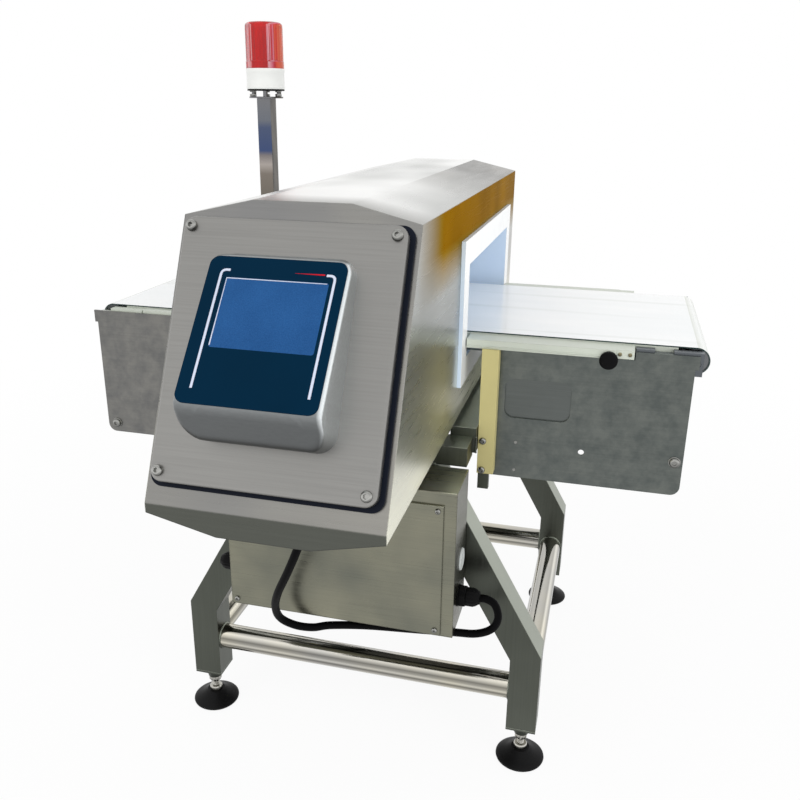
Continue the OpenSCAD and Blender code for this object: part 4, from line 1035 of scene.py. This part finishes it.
# A stripe's top as a share of its width
STRIPE_TOP = 0.8
ACCENT_X = (22, 56)
ACCENT_Y = 161.5
ACCENT_W = (0.3, 1.8)
ACCENT_PARTS = 8
REVEAL_W = 1.6
REVEAL_TIP = 0.6
REVEAL_IN = 1
REVEAL_SHORT = 2


def ribbon(bm, place, points, widths, z, t):
    """A thin raised stripe along points on a face."""
    count = len(points)
    rows = []
    for i, (x, y) in enumerate(points):
        before = Vector(points[max(i - 1, 0)])
        after = Vector(points[min(i + 1, count - 1)])
        along = (after - before).normalized()
        side = Vector((-along.y, along.x)) * widths[i] / 2
        top = side * STRIPE_TOP
        section = ((side.x, side.y, z), (top.x, top.y, z + t), (-top.x, -top.y, z + t), (-side.x, -side.y, z))
        rows.append([bm.verts.new(place @ (Vector((x + dx, y + dy, dz)) * MM)) for dx, dy, dz in section])
    for low, high in zip(rows, rows[1:]):
        for k in range(3):
            bm.faces.new((low[k], low[k + 1], high[k + 1], high[k]))
        bm.faces.new((low[3], low[0], high[0], high[3]))
    bm.faces.new(rows[0])
    bm.faces.new(list(reversed(rows[-1])))


def bent(start, corner, end, r):
    """Points from start to end round a corner, with a round bend in it."""
    start, corner, end = Vector(start), Vector(corner), Vector(end)
    enter = corner + (start - corner).normalized() * r
    leave = corner + (end - corner).normalized() * r
    curve = []
    for i in range(BEND_PARTS + 1):
        t = i / BEND_PARTS
        curve.append(enter * (1 - t) ** 2 + 2 * corner * t * (1 - t) + leave * t ** 2)
    return [tuple(p) for p in [start] + curve + [end]]


def make_fascia_lines():
    """Pale brackets beside the screen, and a tapered red stroke above it."""
    bm = bmesh.new()
    for x, hook in BRACKETS:
        path = bent((x, BRACKET_LOW), (x, BRACKET_TOP), (x + hook, BRACKET_TOP), BRACKET_BEND)
        ribbon(bm, FACE, path, [LINE_W] * len(path), FASCIA_T, LINE_T)
    piece("fascia_brackets", bm, "fascia_navy", material="line_pale")
    bm = bmesh.new()
    shares = [i / ACCENT_PARTS for i in range(ACCENT_PARTS + 1)]
    path = [(ACCENT_X[0] + (ACCENT_X[1] - ACCENT_X[0]) * share, ACCENT_Y) for share in shares]
    widths = [ACCENT_W[0] + (ACCENT_W[1] - ACCENT_W[0]) * share for share in shares]
    ribbon(bm, FACE, path, widths, FASCIA_T, LINE_T)
    piece("fascia_stroke", bm, "fascia_navy", material="accent_red")


def make_screen_reveal():
    """A thin pale reveal along the screen's left and top edges."""
    bm = bmesh.new()
    x, y = SCREEN_LEFT + REVEAL_IN, SCREEN_TOP - REVEAL_IN
    path = [(x, SCREEN_LOW + REVEAL_SHORT), (x, y), (SCREEN_RIGHT - REVEAL_SHORT, y)]
    ribbon(bm, FACE, path, [REVEAL_W, REVEAL_W, REVEAL_W * REVEAL_TIP], FASCIA_T, LINE_T)
    piece("screen_reveal", bm, "screen_blue", material="line_pale")


make_door()
make_hood()
make_fascia_lines()
make_screen_reveal()

# Signal lamp

LAMP_X = -337
LAMP_Y = 228
LAMP_BASE_Z = 1053
LENS_Z = 1091
LENS_TOP = 1173
LENS_D = 71.5
LENS_COLLAR_D = 73
LENS_COLLAR_H = 13
LENS_WALL = 2.4
LENS_BEVEL = 5
LENS_ROUND_W = 8
LENS_ROUND_H = 7
LENS_ROUND_STEPS = 6
LENS_INNER_BEVEL = 7
LENS_FLUTES = 30
LENS_FLUTE_DEPTH = 0.7
LENS_STEPS = 6 * LENS_FLUTES
CORE_D = 30
CORE_H = 97
# Diameter and height of each ring of the base, and of each small light on the core
BASE_PROFILE = [
    (68, 0), (72.4, 0.8), (74, 3), (74, 5), (72.8, 6), (72.8, 30), (74, 31.5), (74, 36.5), (72.6, 38),
    (CORE_D + 4, 38), (CORE_D, 39), (CORE_D, CORE_H - 3), (CORE_D - 6, CORE_H),
]
LED_PROFILE = [(6, 0), (6, 2), (4.8, 4), (2.4, 5)]
LED_STEPS = 12
LED_COLUMNS = 7
LED_HEIGHTS = (1104, 1117, 1130, 1143)
CAP_TOP = 1040
STANDOFFS = 3
STANDOFF_RING = 28
STANDOFF_TURN = 50
STANDOFF_NUT = 11
STANDOFF_NUT_H = 5
SEAL_PROFILE = [(71, -2.5), (72, -2), (72, -0.3), (71, 0.2)]


def lamp_place(z):
    return looking((LAMP_X, LAMP_Y, z), (0, 0, 1))


def fluted(d, z):
    """A circle with shallow flutes, as an optic lens has down its side."""
    waves = [abs(math.sin(math.pi * LENS_FLUTES * i / LENS_STEPS)) for i in range(LENS_STEPS)]
    return ring([d / 2 - LENS_FLUTE_DEPTH * wave for wave in waves], z)


def make_lamp_base():
    """The white base, with the core that stands up inside the lens."""
    bm = bmesh.new()
    turned(bm, lamp_place(LAMP_BASE_Z), BASE_PROFILE)
    piece("lamp_housing", bm, "lamp_white", ["lamp_base"])


def make_lamp_lens():
    """The red lens: a hollow cup, fluted between its collar and its round top."""
    inner_d = LENS_D - 2 * LENS_WALL
    collar_top = LENS_Z + LENS_COLLAR_H
    loops = [
        circle(inner_d - 2 * LENS_INNER_BEVEL, LENS_TOP - LENS_BEVEL, LENS_STEPS),
        circle(inner_d, LENS_TOP - 2 * LENS_BEVEL, LENS_STEPS), circle(inner_d, LENS_Z, LENS_STEPS),
        circle(LENS_COLLAR_D, LENS_Z, LENS_STEPS), circle(LENS_COLLAR_D, collar_top - 1, LENS_STEPS),
        circle(LENS_D, collar_top, LENS_STEPS), fluted(LENS_D, collar_top + 1),
        fluted(LENS_D, LENS_TOP - 2 * LENS_BEVEL),
    ]
    for draw_in, drop in quarter(LENS_ROUND_STEPS, LENS_ROUND_W, LENS_ROUND_H, first=1):
        loops.append(circle(LENS_D - 2 * draw_in, LENS_TOP - drop, LENS_STEPS))
    bm = bmesh.new()
    stack(bm, lamp_place(0), loops)
    piece("lamp_dome", bm, "lens_red", ["lamp_lens"], crease=24)


def make_lamp_lights():
    """Small lights round the core, each row turned by half a step from the one below."""
    bm = bmesh.new()
    for row, z in enumerate(LED_HEIGHTS):
        for k in range(LED_COLUMNS):
            a = 2 * math.pi * (k + 0.5 * (row % 2)) / LED_COLUMNS
            out = Vector((math.cos(a), math.sin(a), 0))
            spot = (LAMP_X + out.x * CORE_D / 2, LAMP_Y + out.y * CORE_D / 2, z)
            turned(bm, looking(spot, out), LED_PROFILE, LED_STEPS)
    piece("lamp_leds", bm, "lamp_white", material="led_amber")


def make_lamp_fittings():
    """Nuts at both ends of the stand-offs, and the dark seal under the base."""
    bm = bmesh.new()
    for k in range(STANDOFFS):
        a = math.radians(STANDOFF_TURN + 360 * k / STANDOFFS)
        spot = shifted(lamp_place(0), STANDOFF_RING * math.cos(a), STANDOFF_RING * math.sin(a))
        for z in (CAP_TOP, LAMP_BASE_Z - STANDOFF_NUT_H):
            stack(bm, spot, nut_loops(STANDOFF_NUT, z, z + STANDOFF_NUT_H, 1))
    piece("lamp_nuts", bm, "mast_steel", material="screw_steel")
    bm = bmesh.new()
    turned(bm, lamp_place(LAMP_BASE_Z), SEAL_PROFILE)
    piece("lamp_seal", bm, "lamp_white", material="gland_black")


make_lamp_base()
make_lamp_lens()
make_lamp_lights()
make_lamp_fittings()

# Cabinet fittings

GLAND_HEX = 30
GLAND_FLANGE = [(33, 0), (33, 1.6), (31, 1.8)]
GLAND_NECK = [(20, -5), (20, 0)]
GLAND_HEX_Z = (1.8, 12)
GLAND_HEX_CHAMFER = 1.6
# Diameter and height of each ring of the dome nut, and whether it is ribbed
GLAND_NUT = [
    (26, 12, False), (28, 13, True), (28, 23, True), (25, 27, True), (21, 30, False), (18, 32.4, False),
    (15, 33, False),
]
GLAND_RIBS = 14
GLAND_RIB = 0.7
GLAND_STEPS = 4 * GLAND_RIBS
# Where each gland and the plug sit, and the way that they point
GLAND_PLACES = (
    ((175, -328, 342), (1, 0, 0)),
    ((-175, -328, 342), (-1, 0, 0)),
    ((-7, -470, 563), (0, 0, -1)),
)
PLUG_PLACE = ((175, -318, 398), (1, 0, 0))
PLUG_PROFILE = [(28, -4), (28, 0), (34, 0), (34, 1), (32, 2.4), (26, 3), (24, 2.4), (8, 2.4)]


def ribbed(d, z):
    """A circle with a narrow groove at each rib's edge."""
    return ring([d / 2 - (GLAND_RIB if i % 4 == 0 else 0) for i in range(GLAND_STEPS)], z)


def make_glands():
    """Cable glands: a hexagon body, a ribbed dome nut and a round mouth on the cable."""
    bm = bmesh.new()
    for origin, direction in GLAND_PLACES:
        place = looking(origin, direction)
        turned(bm, place, GLAND_NECK)
        turned(bm, place, GLAND_FLANGE)
        stack(bm, place, nut_loops(GLAND_HEX, *GLAND_HEX_Z, GLAND_HEX_CHAMFER))
        stack(bm, place, [ribbed(d, z) if ribs else circle(d, z, GLAND_STEPS) for d, z, ribs in GLAND_NUT])
    piece("gland_bodies", bm, "gland_black", ["cable_glands"])


def make_plug():
    bm = bmesh.new()
    turned(bm, looking(*PLUG_PLACE), PLUG_PROFILE)
    piece("plug_cap", bm, "plug_grey", ["blanking_plug"])


make_glands()
make_plug()

# Conveyor fittings

SIDE_RAIL_OUT = 213
KNOB_X = 358
KNOB_Z = 690
KNOB_PROFILE = [(22, -4), (26, 0), (26, 5), (23, 7), (17, 8), (8, 8)]
PIN_X = (373, 387)
PIN_Z = 698.5
PIN_FACE_Y = 209
PIN_HEAD = (5.6, 2.2, 2.4)
STRIP_START = 155
STRIP_END = {-1: 318, 1: 365}
STRIP_Z = 695.4
STRIP_D = 2.2
STRIP_PROUD = 0.2
# The strips are straight, so they keep one in so many of a line's points
STRIP_THIN = 8


def make_rail_knobs():
    """Knobs that lock the bed's side rails."""
    bm = bmesh.new()
    for sy in (-1, 1):
        turned(bm, looking((KNOB_X, sy * SIDE_RAIL_OUT, KNOB_Z), (0, sy, 0)), KNOB_PROFILE)
    piece("rail_knobs", bm, "gland_black")


def make_rail_pins():
    """Brass pins at the joints of the side rails."""
    bm = bmesh.new()
    for sy in (-1, 1):
        for x in PIN_X:
            socket_head(bm, looking((x, sy * PIN_FACE_Y, PIN_Z), (0, sy, 0)), *PIN_HEAD)
    piece("rail_pins", bm, "bed_plastic", material="pin_brass")


def make_rail_strips():
    """A pale wear strip along each side rail."""
    bm = bmesh.new()
    for sx in (-1, 1):
        for sy in (-1, 1):
            y = sy * (SIDE_RAIL_OUT + STRIP_PROUD)
            points = line_points((sx * STRIP_START, y, STRIP_Z), (sx * STRIP_END[sx], y, STRIP_Z))
            run(bm, points[::STRIP_THIN], STRIP_D)
    piece("rail_strips", bm, "bed_plastic")


make_rail_knobs()
make_rail_pins()
make_rail_strips()

# Stage

FLOOR_REACH = 30
FLOOR_TONE = (0.92, 0.92, 0.92, 1)
# Distances from the middle between which the floor fades into the white background, in metres
FLOOR_NEAR = 0.7
FLOOR_FAR = 2.6
FLOOR_NEAR_GLOW = 0.92
WORLD_LIGHT = 0.78
# Name, place, target, size in metres and power in watts of each lamp
LAMPS = (
    ("key", (-1.8, -2.8, 3.4), (0, -0.1, 0.6), 2.4, 40),
    ("fill", (2.8, -2.0, 1.9), (0.1, 0, 0.6), 2.0, 42),
)


def seen_directly(tree):
    """1 for the camera and for what metal and glass show, 0 for the light on the object."""
    path = new_node(tree, "LightPath")
    total = path.outputs["Is Camera Ray"]
    for ray in ("Is Glossy Ray", "Is Transmission Ray"):
        larger = new_node(tree, "Math")
        larger.operation = "MAXIMUM"
        tree.links.new(total, larger.inputs[0])
        tree.links.new(path.outputs[ray], larger.inputs[1])
        total = larger.outputs[0]
    return total


def floor_material():
    """Pale floor that fades into the white background away from the object's shadow."""
    mat = bpy.data.materials.new("floor_pale")
    mat.use_nodes = True
    tree = mat.node_tree
    tree.nodes.clear()
    length = new_node(tree, "VectorMath")
    length.operation = "LENGTH"
    tree.links.new(new_node(tree, "TexCoord").outputs["Object"], length.inputs[0])
    fade = new_node(tree, "MapRange", {
        "From Min": FLOOR_NEAR, "From Max": FLOOR_FAR, "To Min": FLOOR_NEAR_GLOW, "To Max": 1.0,
    })
    fade.interpolation_type = "SMOOTHSTEP"
    tree.links.new(length.outputs["Value"], fade.inputs["Value"])
    share = new_node(tree, "Math")
    share.operation = "MULTIPLY"
    tree.links.new(seen_directly(tree), share.inputs[0])
    tree.links.new(fade.outputs[0], share.inputs[1])
    mix = new_node(tree, "MixShader")
    tree.links.new(share.outputs[0], mix.inputs[0])
    tree.links.new(new_node(tree, "BsdfDiffuse", {"Color": FLOOR_TONE}).outputs[0], mix.inputs[1])
    tree.links.new(new_node(tree, "Emission", {"Strength": 1.0}).outputs[0], mix.inputs[2])
    tree.links.new(mix.outputs[0], new_node(tree, "OutputMaterial").inputs[0])
    return mat


def make_floor():
    mesh = bpy.data.meshes.new("floor")
    r = FLOOR_REACH
    mesh.from_pydata([(-r, -r, 0), (r, -r, 0), (r, r, 0), (-r, r, 0)], [], [(0, 1, 2, 3)])
    floor = add("floor", mesh)
    mesh.materials.append(floor_material())


def make_world():
    """A white room as seen, and a softer one as light on the object."""
    world = bpy.data.worlds.new("world")
    bpy.context.scene.world = world
    world.use_nodes = True
    tree = world.node_tree
    tree.nodes.clear()
    mix = new_node(tree, "MixShader")
    tree.links.new(seen_directly(tree), mix.inputs[0])
    for slot, strength in ((1, WORLD_LIGHT), (2, 1.0)):
        shine = new_node(tree, "Background", {"Color": WHITE, "Strength": strength})
        tree.links.new(shine.outputs[0], mix.inputs[slot])
    tree.links.new(mix.outputs[0], new_node(tree, "OutputWorld").inputs[0])


def make_lamps():
    """Soft lamps for the matt surfaces. The metals show the pale room and not the lamps."""
    for name, place, target, size, power in LAMPS:
        data = bpy.data.lights.new(name, "AREA")
        data.size = size
        data.energy = power
        lamp = add(name, data)
        lamp.visible_glossy = False
        lamp.location = place
        lamp.rotation_mode = "QUATERNION"
        lamp.rotation_quaternion = (Vector(target) - Vector(place)).to_track_quat("-Z", "Y")


bpy.context.scene.view_settings.view_transform = "Standard"
make_floor()
make_world()
make_lamps()
